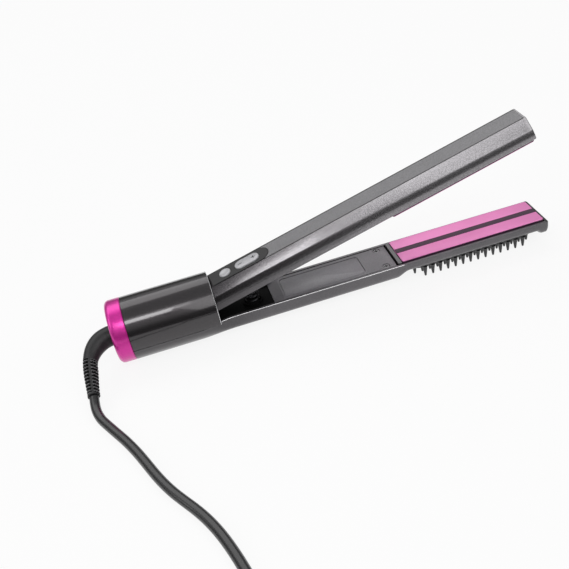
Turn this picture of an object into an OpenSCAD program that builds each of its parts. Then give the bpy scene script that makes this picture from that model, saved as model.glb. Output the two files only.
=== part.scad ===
// Hair straightener and curler with a comb under the lower jaw, lying open on a table.
// X runs along the length to the jaw tips, Y across, Z up. z = 0 is the table top.

/* [Handle] */
// Radius of the round handle and its end collar
handle_r = 19; // [17:0.5:22]
// Wall of the round handle
handle_wall = 2.2; // [1.6:0.1:3]
// Length of the coloured end collar
collar_l = 9.5; // [6:0.5:14]
// Rounding on the collar's rear edge
collar_round = 3; // [1:0.5:4]
// Length of the upper handle shell, from the collar to the sleeve's mouth
sleeve_l = 52.7; // [48:0.1:60]

/* [Lower arm] */
// Length from the collar's rear face to the lower jaw's tip
body_l = 270; // [262:1:290]
// Drop of the arm's rim below the handle's axis
rim_drop = 4.1; // [3:0.1:6]
// Half width of the lower arm at its rim
arm_half_w = 14.4; // [14.3:0.1:16]
// Depth of the arm below its rim, between handle and comb
arm_depth = 11.3; // [10:0.1:12]
// Depth of the arm below its rim, over the comb
jaw_depth = 7.3; // [7:0.1:8]
// Wall of the lower arm
arm_wall = 2; // [1.6:0.1:2.4]

/* [Plates] */
// Length of each heating plate
plate_l = 91.6; // [84:0.1:93]
// Width of each heating plate
plate_w = 24; // [20:0.5:24.5]
// Thickness of each heating plate
plate_t = 2.2; // [1.8:0.1:2.6]
// Height of the plates' meeting plane above the rim
plate_rise = 1.5; // [1.2:0.1:2.5]
// Width of the dark stripe along each plate
stripe_w = 4.5; // [3:0.5:6]
// Depth of the stripe's groove
stripe_d = 0.6; // [0.4:0.1:0.8]
// Travel of the floating lower plate
float_travel = 0.8; // [0.4:0.1:0.8]

/* [Upper arm] */
// Opening angle of the arms at rest
open_deg = 14.2; // [8:0.1:16]
// Half width of the upper arm along its lower edge
top_half_w = 13.8; // [13.4:0.1:15]
// Half width of the flat on top of the upper arm
flat_half_w = 7.1; // [6.5:0.1:8]
// Height of the upper arm, from its lower edge to the flat
top_h = 11.7; // [11:0.1:13]
// Wall of the upper arm
top_wall = 1.5; // [1.2:0.1:1.8]
// Gap between the closed arms' edges
edge_gap = 4.2; // [4:0.1:5]
// Radius of the hinge pin
pin_r = 2; // [1.5:0.1:2.4]

/* [Comb] */
// Columns of teeth in the longest row
tooth_columns = 16; // [12:1:18]
// Distance between columns of teeth
tooth_pitch = 4.8; // [4:0.1:5]
// Distance between rows of teeth
row_pitch = 5.2; // [4:0.1:5.4]
// Radius of a tooth at its root
tooth_r = 1.5; // [1:0.1:1.8]
// Radius of a tooth at its tip
tooth_tip_r = 0.6; // [0.4:0.1:0.9]

/* [Controls] */
// Length of the control panel on the upper arm
panel_l = 37.3; // [34:0.1:42]
// Radius of the round power button
power_r = 3.5; // [3:0.1:4]
// Travel of the power button
power_travel = 0.7; // [0.4:0.1:0.7]
// Length of the temperature rocker
rocker_l = 15.6; // [12:0.1:16]
// Width of the temperature rocker
rocker_w = 7.6; // [6:0.1:8]

/* [Opening spring] */
// Turns of the opening spring
spring_turns = 5; // [4:1:6]
// Radius of the spring's coils, to the wire's centre
spring_r = 4; // [3.6:0.1:4.4]
// Radius of the spring's wire
wire_r = 0.5; // [0.4:0.05:0.6]

/* [Cord] */
// Diameter of the mains cord
cord_d = 6; // [5:0.5:6.5]
// Angle of the elbow away from straight down, about the handle's axis
elbow_deg = 72; // [60:1:80]
// Ribs on the strain relief
relief_ribs = 9; // [6:1:12]
// Radius of a plug pin
plug_pin_r = 2; // [2:0.1:2.4]

/* [Hidden] */

fit = 0.1;          // between pieces that seat in one another
clear = 0.3;        // between pieces that move past one another
run = 0.05;         // radial, round a pin that turns
$fn = 48;

// Places along the length
rear_x = -body_l / 2;
tip_x = body_l / 2;
collar_x = rear_x + collar_l;
mouth_x = collar_x + sleeve_l;
hinge_x = mouth_x - 10.7;
jaw_wall = 2.1;
plate_x1 = tip_x - jaw_wall - 0.3;
plate_x0 = plate_x1 - plate_l;
carrier_wall = 2.2;
cover_x1 = plate_x0 - carrier_wall - 1.4;
cover_x0 = mouth_x + 34;
cover_ramp = 6;

// Heights
axis_z = handle_r;
rim_z = axis_z - rim_drop;
meet_z = rim_z + plate_rise;
edge_z = rim_z + edge_gap;
flat_z = edge_z + top_h;
hinge_z = axis_z + 5;
inner_r = handle_r - handle_wall;
plate_half = plate_w / 2;
under_z = rim_z - jaw_depth;

// Outline of the lower arm: round at the handle, boxy with soft corners further on.
// Rays leave the middle of the rim plane, and ease(x) blends one outline into the other.
taper_x0 = mouth_x - 13;
taper_x1 = mouth_x + 8;
box_power = 4;
function ease(t) = let (c = min(1, max(0, t))) c * c * (3 - 2 * c);
function round_ray(a, drop, r) =
    let (up = drop * sin(a)) -up + sqrt(r * r - drop * drop + up * up);
function box_ray(a, w, h) =
    pow(pow(abs(cos(a)) / w, box_power) + pow(abs(sin(a)) / h, box_power), -1 / box_power);
function arm_ray(a, x, depth, inset) =
    let (k = ease((x - taper_x0) / (taper_x1 - taper_x0)))
    (1 - k) * round_ray(a, rim_drop, handle_r - inset)
    + k * box_ray(a, arm_half_w - inset, depth - inset);
arm_steps = 24;
function arm_ring(x, depth, inset, lift) =
    [for (i = [0:arm_steps]) let (a = 180 - 180 * i / arm_steps, r = arm_ray(a, x, depth, inset))
        [x, r * cos(a), rim_z - r * sin(a) + lift * (i == 0 || i == arm_steps ? 1 : 0)]];

// A solid through rings of equal count, from the first to the last
module loft(rings) {
    n = len(rings[0]);
    m = len(rings);
    faces = concat(
        [[for (i = [0:n - 1]) i]],
        [for (k = [0:m - 2]) for (i = [0:n - 1]) let (j = (i + 1) % n)
            [k * n + i, (k + 1) * n + i, (k + 1) * n + j, k * n + j]],
        [[for (i = [n - 1:-1:0]) (m - 1) * n + i]]);
    polyhedron([for (r = rings) each r], faces, convexity = 8);
}

// A tube through points, with a radius at each one
function unit(v) = v / norm(v);
function tangent(p, i) = unit(p[min(i + 1, len(p) - 1)] - p[max(i - 1, 0)]);
function hoop(p, i, r, n) =
    let (t = tangent(p, i), s = unit(cross(t, [0, 0, 1])), u = cross(s, t))
    [for (k = [0:n - 1]) let (a = 360 * (k + 0.5) / n) p[i] + r * (cos(a) * s - sin(a) * u)];
module tube(p, radii, n) {
    loft([for (i = [0:len(p) - 1]) hoop(p, i, radii[i], n)]);
}
function same(p, r) = [for (q = p) r];
function length_of(p, i = 1) = i >= len(p) ? 0 : norm(p[i] - p[i - 1]) + length_of(p, i + 1);

// A box between two corners, and a rod along X, Y or Z
module block(a, b) {
    translate(a) cube(b - a);
}
module rod_x(x0, x1, r, y = 0, z = axis_z) {
    translate([x0, y, z]) rotate([0, 90, 0]) cylinder(h = x1 - x0, r = r);
}
module rod_y(y0, y1, r, x, z) {
    translate([x, y0, z]) rotate([-90, 0, 0]) cylinder(h = y1 - y0, r = r);
}
module rod_z(z0, z1, r, x, y = 0) {
    translate([x, y, z0]) cylinder(h = z1 - z0, r = r);
}
module mirror_y() {
    children();
    mirror([0, 1, 0]) children();
}

// Handle and lower arm

spigot_l = 5;
module upper_handle_shell() {
    color("#3a393c") difference() {
        rod_x(collar_x, mouth_x, handle_r);
        rod_x(collar_x - 1, mouth_x + 1, inner_r);
        block([collar_x - 1, -handle_r - 1, -1], [mouth_x + 1, handle_r + 1, rim_z + fit / 2]);
    }
}

comb_l = (tooth_columns - 1) * tooth_pitch + 2 * tooth_pitch;
comb_x1 = tip_x - 8;
comb_x0 = comb_x1 - comb_l;
step_l = 8;
bumper_depth = jaw_depth + 2.6;
comb_half = 11.9;
comb_t = 2.2;
// Depth and inward rounding of the lower arm at places along it
arm_stations = [
    [collar_x, arm_depth, 0], [taper_x0, arm_depth, 0],
    for (i = [1:5]) [taper_x0 + (taper_x1 - taper_x0) * i / 6, arm_depth, 0],
    [taper_x1, arm_depth, 0],
    [comb_x0 - step_l - 1, arm_depth - 0.4, 0], [comb_x0 - step_l / 2, (arm_depth + jaw_depth) / 2, 0],
    [comb_x0 - 1, jaw_depth, 0], [comb_x1 + 1, jaw_depth, 0], [comb_x1 + 4, bumper_depth, 0],
    [tip_x - 1.8, bumper_depth, 0], [tip_x - 0.6, bumper_depth - 0.8, 0.8], [tip_x, bumper_depth - 2, 2]];
cavity_stations = [
    [collar_x - 1, arm_depth], [taper_x0, arm_depth],
    for (i = [1:5]) [taper_x0 + (taper_x1 - taper_x0) * i / 6, arm_depth],
    [taper_x1, arm_depth],
    [comb_x0 - step_l - 3, arm_depth], [comb_x0 - 2, jaw_depth + 0.2], [tip_x - jaw_wall, jaw_depth + 0.2]];
post_r = 2.6;
screw_r = 1.1;
bracket_x = hinge_x - 7;
bracket_screw_y = 6;
bracket_z = rim_z - 3.2;
board_x0 = collar_x + 6;
board_x1 = board_x0 + 23;
board_z = rim_z - 2.4;
board_screw_x = [board_x0 + 3, board_x1 - 3];
cover_screw_x = cover_x1 - 5.8;
cover_screw_y = 9.2;
cover_t = 2;
tray_z = rim_z - 3.2;
tray_t = 1.6;

module post(x, y, z0, z1) {
    difference() {
        rod_z(z0, z1, post_r, x, y);
        rod_z(z1 - 5, z1 + 1, screw_r + run, x, y);
    }
}
// Where a post starts in the round part's wall, at y
function root_z(y) = axis_z - sqrt(pow(handle_r - arm_wall, 2) - y * y) - 0.8;
module arm_outer() {
    loft([for (s = arm_stations) arm_ring(s[0], s[1], s[2], 0)]);
}
module arm_cavity(inset) {
    loft([for (s = cavity_stations) arm_ring(s[0], s[1], inset, 2)]);
}
module lower_arm_shell() {
    color("#454449") {
        difference() {
            arm_outer();
            arm_cavity(arm_wall);
            comb_slab(comb_half + fit, 0, rim_z - arm_wall);
        }
        for (y = [-bracket_screw_y, bracket_screw_y]) post(bracket_x, y, root_z(y), bracket_z);
        for (x = board_screw_x) post(x, 0, root_z(0), board_z);
        for (y = [-cover_screw_y, cover_screw_y])
            post(cover_screw_x, y, rim_z - arm_depth + arm_wall - 0.3, rim_z - clear - cover_t);
    }
}

module end_collar() {
    color("#d63296") difference() {
        union() {
            translate([rear_x, 0, axis_z]) rotate([0, 90, 0]) rotate_extrude() difference() {
                union() {
                    translate([0, collar_round]) square([handle_r, collar_l - collar_round]);
                    square([handle_r - collar_round, collar_round]);
                    intersection() {
                        translate([handle_r - collar_round, collar_round]) circle(collar_round);
                        square([handle_r, collar_round]);
                    }
                }
                translate([-1, -1]) square([1, collar_l + 2]);
            }
            rod_x(collar_x - 1, collar_x + spigot_l, inner_r - fit);
        }
        rod_x(rear_x - 1, collar_x + spigot_l + 1, inner_r - 2);
    }
}

cap_x = rear_x + 0.8;
cap_t = 4;
barrel_r = 6.9;
module end_cap() {
    color("#2b2b2d") difference() {
        rod_x(cap_x, cap_x + cap_t, inner_r - 2 - fit);
        rod_x(cap_x - 1, cap_x + cap_t + 1, barrel_r + run);
    }
}

ear_t = 1.8;
arm_ear_t = 2.4;
ear_r = 3.6;
sleeve_gap = 0.2;
bracket_half = sqrt(pow(inner_r, 2) - pow(hinge_z - axis_z + ear_r, 2)) - sleeve_gap;
bracket_back = 4;
bracket_front = 6;
module hinge_bracket() {
    color("#8c8d90") difference() {
        union() {
            block([bracket_x - bracket_back, -bracket_half, bracket_z],
                [hinge_x + bracket_front, bracket_half, bracket_z + ear_t]);
            mirror_y() {
                block([hinge_x - ear_r, bracket_half - ear_t, bracket_z], [hinge_x + ear_r, bracket_half, hinge_z]);
                rod_y(bracket_half - ear_t, bracket_half, ear_r, hinge_x, hinge_z);
            }
        }
        rod_y(-bracket_half - 1, bracket_half + 1, pin_r, hinge_x, hinge_z);
        for (y = [-bracket_screw_y, bracket_screw_y])
            rod_z(bracket_z - 1, bracket_z + ear_t + 1, screw_r + run, bracket_x, y);
    }
}

// A pan-head screw whose head sits on z
module pan_screw(x, y, z, head_r = 2.2) {
    rod_z(z, z + 1.2, head_r, x, y);
    rod_z(z - 5, z, screw_r, x, y);
}
module bracket_screws() {
    color("#9a9a9c") for (y = [-bracket_screw_y, bracket_screw_y])
        pan_screw(bracket_x, y, bracket_z + ear_t);
}
module hinge_pin() {
    color("#b9babd") rod_y(-bracket_half, bracket_half, pin_r, hinge_x, hinge_z);
}

spring_x = hinge_x + 33;
seat_r = spring_r + wire_r + 0.6;
inner_half = arm_half_w - arm_wall - clear;
tray_x0 = hinge_x + 7;
module hinge_tray() {
    color("#161617") {
        difference() {
            block([tray_x0, -inner_half, tray_z - tray_t], [cover_x0 - fit, inner_half, tray_z]);
            for (s = [-1, 1]) translate([tray_x0 - 1, s * inner_half, tray_z - 4])
                rotate([0, 0, -s * 4]) translate([0, s * 3 - 3, 0]) cube([12, 6, 6]);
        }
        difference() {
            rod_z(tray_z, tray_z + 1.4, seat_r + 1, spring_x);
            rod_z(tray_z, tray_z + 2, seat_r, spring_x);
        }
    }
}

spring_top = hinge_z + 33 * tan(open_deg) - (hinge_z - edge_z - 0.4) / cos(open_deg) - 1.4;
spring_steps = 8;
module opening_spring() {
    n = spring_turns * spring_steps;
    p = [for (i = [0:n]) let (a = 360 * i / spring_steps)
        [spring_x + spring_r * cos(a), spring_r * sin(a),
         tray_z + wire_r + 0.05 + (spring_top - tray_z - 2 * wire_r) * i / n]];
    gap = (spring_top - tray_z - 2 * wire_r) / spring_turns - 2 * wire_r;
    echo(spring_least_gap = gap);
    color("#707277") tube(p, same(p, wire_r), 6);
}

inset_x0 = cover_x0 + 7;
inset_x1 = cover_x1 - 18.6;
inset_half = 9.5;
inset_round = 2.5;
inset_d = 1.2;
module rounded_slab(x0, x1, half, r, z0, z1) {
    translate([0, 0, z0]) linear_extrude(z1 - z0) {
        translate([x0 + r, -half]) square([x1 - x0 - 2 * r, 2 * half]);
        translate([x0, r - half]) square([x1 - x0, 2 * (half - r)]);
        for (x = [x0 + r, x1 - r]) for (y = [r - half, half - r]) translate([x, y]) circle(r);
    }
}
module inner_cover() {
    top = rim_z - clear;
    color("#77777b") difference() {
        translate([0, inner_half, 0]) rotate([90, 0, 0]) linear_extrude(2 * inner_half)
            polygon([[cover_x0, tray_z - tray_t], [cover_x0, tray_z + 0.4],
                [cover_x0 + cover_ramp, top], [cover_x1, top],
                [cover_x1, top - cover_t], [cover_x0 + cover_ramp, top - cover_t]]);
        rounded_slab(inset_x0, inset_x1, inset_half, inset_round, top - inset_d, top + 1);
        for (y = [-cover_screw_y, cover_screw_y]) {
            rod_z(top - 1.1, top + 1, 2.3, cover_screw_x, y);
            rod_z(top - cover_t - 1, top, screw_r + run, cover_screw_x, y);
        }
    }
}
module inset_panel() {
    top = rim_z - clear;
    color("#6d6d72") rounded_slab(inset_x0 + 0.2, inset_x1 - 0.2, inset_half - 0.2, inset_round - 0.2,
        top - inset_d, top - 0.25);
}

// A crosshead screw, its head's underside on z
module cover_screw(x, y, z) {
    difference() {
        union() {
            rod_z(z, z + 0.9, 2.15, x, y);
            rod_z(z - 5, z, screw_r, x, y);
        }
        for (a = [0, 90]) translate([x, y, z + 0.4]) rotate([0, 0, a])
            translate([-1.2, -0.25, 0]) cube([2.4, 0.5, 1]);
    }
}
module cover_screws() {
    color("#3c3c3f") for (y = [-cover_screw_y, cover_screw_y])
        cover_screw(cover_screw_x, y, rim_z - clear - 1.1);
}

plate_z0 = meet_z - fit - plate_t;
heater_t = 2.6;
heater_half = 7;
pad_t = 1.1;
carrier_z = plate_z0 - heater_t - pad_t;
carrier_t = 0.8;
carrier_half = plate_half + 0.2;
rail_y = 8.6;
rail_w = 1.4;
heater_l = plate_l - 18;
heater_x0 = plate_x0 + 9;
heater_x1 = heater_x0 + heater_l;
module lower_plate_carrier() {
    left = plate_x0 - clear - carrier_wall;
    color("#3f3e42") intersection() {
        union() {
            block([left, -carrier_half, carrier_z - carrier_t], [plate_x1, carrier_half, carrier_z]);
            block([left, -carrier_half, carrier_z - carrier_t], [left + carrier_wall, carrier_half, rim_z + 0.6]);
        }
        arm_cavity(arm_wall + fit);
    }
}
pad_l = 12;
module plate_pads() {
    color("#c96f4a") for (x = [heater_x0 + 6, heater_x1 - 6 - pad_l])
        block([x, -4, carrier_z], [x + pad_l, 4, carrier_z + pad_t - 0.05]);
}

// Heating plate, z0 to z1, with its groove on the side that dir points to
plate_round = 1.5;
module heating_plate(z0, dir) {
    z1 = z0 + plate_t;
    groove = dir > 0 ? [z1 - stripe_d, z1 + 1] : [z0 - 1, z0 + stripe_d];
    rail = dir > 0 ? [z0 - 2, z0 + 0.5] : [z1 - 0.5, z1 + 2];
    difference() {
        rounded_slab(plate_x0, plate_x1, plate_half, plate_round, z0, z1);
        block([plate_x0 - 1, -stripe_w / 2, groove[0]], [plate_x1 + 1, stripe_w / 2, groove[1]]);
    }
    mirror_y() block([plate_x0 + 4, rail_y - rail_w / 2, rail[0]], [plate_x1 - 4, rail_y + rail_w / 2, rail[1]]);
}
module lower_plate() {
    color("#e878b8") heating_plate(plate_z0, 1);
}
module stripe(z0) {
    block([plate_x0 + 0.2, -stripe_w / 2 + 0.05, z0], [plate_x1 - 0.2, stripe_w / 2 - 0.05, z0 + stripe_d - 0.1]);
}
module lower_stripe() {
    color("#4c4050") stripe(plate_z0 + plate_t - stripe_d);
}
module heater(z0, z1) {
    block([heater_x0, -heater_half, z0], [heater_x1, heater_half, z1]);
    mirror_y() rod_x(heater_x0 - 6, heater_x0 + 1, 0.8, 3, (z0 + z1) / 2);
}
module lower_heater() {
    color("#d9d4c6") heater(plate_z0 - heater_t, plate_z0);
}

// Comb: a slab with rounded ends, and rows of tapered teeth that end at the table
module comb_slab(half, z0, z1) {
    rounded_slab(comb_x0 - (half - comb_half), comb_x1 + (half - comb_half), half, 8, z0, z1);
}
module comb() {
    rows = [0, 1, 2];
    color("#1d1d1f") {
        comb_slab(comb_half, carrier_z - carrier_t - comb_t, carrier_z - carrier_t);
        for (row = rows) for (side = row == 0 ? [1] : [-1, 1]) {
            count = tooth_columns - row;
            for (i = [0:count - 1])
                translate([(comb_x0 + comb_x1) / 2 + (i - (count - 1) / 2) * tooth_pitch,
                           side * row * row_pitch, 0])
                    cylinder(h = under_z + 0.3, r1 = tooth_tip_r, r2 = tooth_r, $fn = 16);
        }
    }
}

module circuit_board() {
    color("#2f6b3f") difference() {
        union() {
            block([board_x0, -11, board_z], [board_x1, 11, board_z + 1.6]);
            rod_y(-8, 2, 4, board_x0 + 11.5, board_z + 5.4);
            block([board_x0 + 6, 4, board_z + 1], [board_x0 + 18, 10, board_z + 9]);
            block([board_x1 - 9, -9, board_z + 1], [board_x1 - 6, 9, board_z + 4]);
        }
        for (x = board_screw_x) rod_z(board_z - 1, board_z + 9, screw_r + run, x, 0);
    }
}
module board_screws() {
    color("#9a9a9c") for (x = board_screw_x) pan_screw(x, 0, board_z + 1.6, 2);
}

// Upper arm, drawn closed and swung open about the hinge pin

module opened() {
    translate([hinge_x, 0, hinge_z]) rotate([0, -open_deg, 0]) translate([-hinge_x, 0, -hinge_z])
        children();
}

shell_x0 = mouth_x - 6.5;
top_tip_x = tip_x - 1.5;
cavity_tip = top_tip_x - 2;
// Half width and height of the crease under the bevel, near the hinge and at the tip
crease_rear = [11.6, 7.8];
crease_tip = [12, 5.8];
crease_x0 = mouth_x + 14;
inset_top = 0.7;
function crease(x) = let (k = min(1, max(0, (x - crease_x0) / (top_tip_x - crease_x0))))
    crease_rear + k * (crease_tip - crease_rear);
function top_ring(x, w, drop) =
    let (c = crease(x), side = top_half_w - 0.6 * w, flat = flat_half_w - w * 0.5, out = c[0] - w * 0.9,
         edge = edge_z - drop)
    [[x, side, edge], [x, out, edge_z + c[1] - w * 0.3], [x, flat, flat_z - w],
     [x, -flat, flat_z - w], [x, -out, edge_z + c[1] - w * 0.3], [x, -side, edge]];
window_l = 31;
window_half = 5.2;
panel_x0 = mouth_x + 3.8;
panel_half = 6.4;
panel_x1 = panel_x0 + panel_l;
module panel_outline(grow, z0, z1) {
    block([panel_x0 - grow, -panel_half - grow, z0], [panel_x1 - panel_half, panel_half + grow, z1]);
    rod_z(z0, z1, panel_half + grow, panel_x1 - panel_half);
}
upper_cover_t = 1.5;
upper_cover_z = edge_z + 0.4;
upper_post_y = 7.2;
upper_screw_l = 8;
module upper_arm_shell() {
    color("#3f3e42") opened() {
        difference() {
            loft([for (x = [shell_x0, crease_x0, (crease_x0 + top_tip_x) / 2, top_tip_x - 0.8, top_tip_x])
                top_ring(x, x == top_tip_x ? 0.8 : 0, 0)]);
            loft([for (x = [shell_x0 - 1, crease_x0, (crease_x0 + top_tip_x) / 2, cavity_tip])
                top_ring(x, top_wall, 2)]);
            panel_outline(fit, flat_z - inset_top, flat_z + 1);
            block([panel_x1 - panel_half, -flat_half_w + 0.4, flat_z - inset_top],
                [top_tip_x - 1.2, flat_half_w - 0.4, flat_z + 1]);
            block([panel_x0 + 1.5, -window_half, flat_z - 4],
                [panel_x0 + 1.5 + window_l, window_half, flat_z]);
        }
        difference() {
            mirror_y() {
                rod_y(bracket_half - ear_t - clear - arm_ear_t, bracket_half - ear_t - clear,
                    4.2, hinge_x, hinge_z);
                block([hinge_x, bracket_half - ear_t - clear - arm_ear_t, hinge_z - 4.2],
                    [shell_x0 + 5, bracket_half - ear_t - clear - 0.6, hinge_z + 2]);
                // web from the ear's root to the side wall, also with a slim handle
                block([shell_x0 + 1, bracket_half - ear_t - clear - arm_ear_t + 0.1, hinge_z - 2],
                    [shell_x0 + 4.9, crease_rear[0] - top_wall / 2, hinge_z + 1.9]);
            }
            rod_y(-bracket_half, bracket_half, pin_r + run, hinge_x, hinge_z);
        }
        mirror_y() difference() {
            rod_z(upper_cover_z + upper_cover_t, flat_z - 2.8, 2.2, cover_screw_x, upper_post_y);
            rod_z(edge_z, edge_z + upper_screw_l, screw_r + run, cover_screw_x, upper_post_y);
        }
    }
}

module top_panel() {
    color("#85858a") opened() difference() {
        block([panel_x1 - panel_half, -flat_half_w + 0.5, flat_z - inset_top],
            [top_tip_x - 1.3, flat_half_w - 0.5, flat_z]);
        rod_z(flat_z - 2, flat_z + 1, panel_half + 0.3, panel_x1 - panel_half);
    }
}

power_x = panel_x0 + 9;
rocker_x = panel_x0 + 23.5;
pivot_z = flat_z - 1.6;
pivot_r = 0.8;
slot_gap = 0.25;
board_top = flat_z - 4.4;
module oval(l, w, z0, z1, x) {
    rounded_slab(x - l / 2, x + l / 2, w / 2, w / 2 - 0.01, z0, z1);
}
module control_panel() {
    color("#232325") opened() difference() {
        union() {
            panel_outline(0, flat_z - inset_top, flat_z + 0.2);
            mirror_y() block([rocker_x - 1.8, rocker_w / 2 + 0.5, pivot_z - 1.8],
                [rocker_x + 1.8, rocker_w / 2 + 1.3, flat_z]);
        }
        rod_z(flat_z - 3, flat_z + 1, power_r + slot_gap, power_x);
        oval(rocker_l + 2 * slot_gap, rocker_w + 2 * slot_gap, flat_z - 6, flat_z + 1, rocker_x);
        rod_y(-8, 8, pivot_r + run, rocker_x, pivot_z);
    }
}
module power_button() {
    color("#c8c8cc") opened() {
        rod_z(flat_z - 1.9, flat_z + 0.9, power_r, power_x);
        rod_z(flat_z - 1.9, flat_z - inset_top - clear, power_r + 0.8, power_x);
    }
}
module temperature_rocker() {
    color("#b4b4b8") opened() {
        oval(rocker_l, rocker_w, flat_z - 1.9, flat_z + 0.8, rocker_x);
        rod_y(-rocker_w / 2 - 1.2, rocker_w / 2 + 1.2, pivot_r, rocker_x, pivot_z);
    }
}
module button_board() {
    color("#2f6b3f") opened() {
        block([panel_x0 + 2, -window_half + 0.4, board_top - 1.2],
            [panel_x0 + window_l, window_half - 0.4, board_top]);
        for (x = [power_x, rocker_x - 5, rocker_x + 5])
            block([x - 2, -2, board_top], [x + 2, 2, board_top + 1.4]);
        for (x = [panel_x0 + 3.2, (power_x + rocker_x) / 2 + 1.4, panel_x0 + window_l - 1.2])
            block([x - 0.8, -window_half + 0.4, board_top], [x + 0.8, -window_half + 1.4, flat_z - inset_top]);
    }
}

peg_r = spring_r - wire_r - 1.1;
module upper_inner_cover() {
    z0 = upper_cover_z;
    color("#5d5d61") opened() {
        difference() {
            block([tray_x0 + 3, -inner_half + 1.1, z0], [cover_x1, inner_half - 1.1, z0 + upper_cover_t]);
            mirror_y() {
                rod_z(z0 - 1, z0 + 0.9, 2.3, cover_screw_x, upper_post_y);
                rod_z(z0 - 1, z0 + 3, screw_r + run, cover_screw_x, upper_post_y);
            }
        }
        rod_z(z0 - 2.5, z0 + 0.1, peg_r, spring_x);
    }
}
module upper_cover_screws() {
    color("#3c3c3f") opened() mirror_y() translate([0, 0, 2 * (upper_cover_z + 0.9)]) mirror([0, 0, 1])
        cover_screw(cover_screw_x, upper_post_y, upper_cover_z + 0.9);
}

upper_plate_z = meet_z + 0.2;
module upper_plate_carrier() {
    z0 = upper_plate_z + plate_t + heater_t;
    left = plate_x0 - clear - carrier_wall;
    right = cavity_tip - fit;
    color("#3f3e42") opened() {
        block([left, -9, z0], [right, 9, z0 + carrier_t]);
        mirror_y() block([left, 4.2, z0], [plate_x1 - 6, 5.4, flat_z - top_wall - fit]);
        block([left, -9, edge_z + 0.4], [left + carrier_wall, 9, z0 + carrier_t]);
        block([right - 1.6, -9, edge_z + 0.4], [right, 9, z0 + carrier_t]);
    }
}
module upper_plate() {
    color("#e878b8") opened() heating_plate(upper_plate_z, -1);
}
module upper_stripe() {
    color("#4c4050") opened() stripe(upper_plate_z + 0.1);
}
module upper_heater() {
    color("#d9d4c6") opened() heater(upper_plate_z + plate_t, upper_plate_z + plate_t + heater_t);
}

// Swivel and cord

barrel_x0 = rear_x;
module swivel_barrel() {
    color("#1f1f21") difference() {
        union() {
            rod_x(barrel_x0, rear_x + 11, barrel_r);
            rod_x(cap_x + cap_t + clear, cap_x + cap_t + clear + 1.6, 9);
        }
        rod_x(barrel_x0 - 1, rear_x + 12, cord_d / 2 + 0.3);
    }
}

// The elbow leaves along -X, bends, and ends in a straight ribbed relief
elbow_r = 6.3;
bend_r = 14.5;
bend_deg = 86;
elbow_l = 1;
relief_l = 26;
relief_r = 4.6;
elbow_c = [barrel_x0 - elbow_l, 0, -bend_r];
function swing(p) = [p[0], p[2] * sin(elbow_deg), axis_z + p[2] * cos(elbow_deg)];
function bend_at(a) = elbow_c + bend_r * [-sin(a), 0, cos(a)];
relief_dir = [-cos(bend_deg), 0, -sin(bend_deg)];
function relief_at(s) = bend_at(bend_deg) + s * relief_dir;
rib_pitch = (relief_l - 5) / relief_ribs;
relief_points = [
    [barrel_x0, 0, 0], [barrel_x0 - elbow_l, 0, 0],
    for (i = [1:8]) bend_at(bend_deg * i / 8),
    for (i = [0:relief_ribs - 1]) for (k = [0.1, 0.6, 0.7, 1]) relief_at(1 + (i + k) * rib_pitch),
    relief_at(relief_l)];
relief_radii = [
    elbow_r, elbow_r,
    for (i = [1:8]) elbow_r - (elbow_r - relief_r) * i / 8,
    for (i = [0:relief_ribs - 1]) let (r = relief_r - 0.7 * i / relief_ribs) each [r, r, r - 0.8, r - 0.8],
    cord_d / 2 + 0.7];
module cord_elbow() {
    p = [for (q = relief_points) swing(q)];
    color("#39393c") tube(p, relief_radii, 12);
}

// Route of the cord from the strain relief to the hank, on the table
cord_z = cord_d / 2;
cord_route = [
    [-152.5, -44.4, 4.65], [-152, -48.3, 3.8], [-150.9, -52.1, 3.25], [-149.3, -56, 3],
    [-144.2, -66.2, 3], [-138.8, -76.8, 3], [-134.2, -87.3, 3], [-130.5, -97, 3], [-127.2, -106, 3],
    [-123.7, -114.5, 3], [-119.8, -122.5, 3], [-115.5, -130, 3], [-110.8, -138, 3],
    [-106.3, -147, 3], [-102.2, -157.5, 3], [-98.5, -170, 3], [-95.2, -184, 3], [-91.8, -200, 3],
    [-88.4, -216, 3], [-85.6, -233, 3], [-84.6, -250, 3], [-85.4, -267, 3.2], [-87, -284, 3.7],
    [-88.3, -297, 4]];

// Hank: loops round a waisted outline, out to in below, then in to out above
hank_c = [-12, -310];
hank_half_l = 62;
waist = 4.5;
lobe = 40;
tie_t = 1;
pile = cord_d + 0.6;
hank_turns = 4.1;
hank_turn_back = 2.2;
hank_steps = 24;
climb = 0.25;
function base(a) = [hank_half_l * cos(a), sin(a) * (waist + lobe * cos(a) * cos(a))];
function base_normal(a) =
    let (d = [-hank_half_l * sin(a), cos(a) * (waist + lobe * cos(a) * cos(a)) - 2 * lobe * sin(a) * sin(a) * cos(a)])
    [d[1], -d[0]] / norm(d);
function hank_point(t) =
    let (a = 180 + 360 * t, o = pile * abs(hank_turn_back - t), p = hank_c + base(a) + o * base_normal(a),
         up = ease((t - hank_turn_back + climb) / (2 * climb)))
    [p[0], p[1], cord_z + tie_t + up * pile];
hank_start = hank_point(0);
hank_end = hank_point(hank_turns);
hank_points = [
    hank_start + [0, cord_d, 0],
    for (i = [0:ceil(hank_turns * hank_steps)]) hank_point(min(hank_turns, i / hank_steps)),
    hank_end + cord_d * unit([(hank_end - hank_point(hank_turns - 0.02))[0],
                              (hank_end - hank_point(hank_turns - 0.02))[1], 0])];

// From the hank down to the plug, which lies beside it
plug_x = 14;
plug_y = -364;
plug_h = 14;
tail_route = [
    [-49, -344.2, 10.4], [-41, -347.6, 8.6], [-33, -352, 6.2], [-25, -356.5, 4.2], [-17, -360, 3.1],
    [-9, -362.4, 3.2], [-1, -363.6, 4.6], [7, -364, 6.4]];

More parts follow.
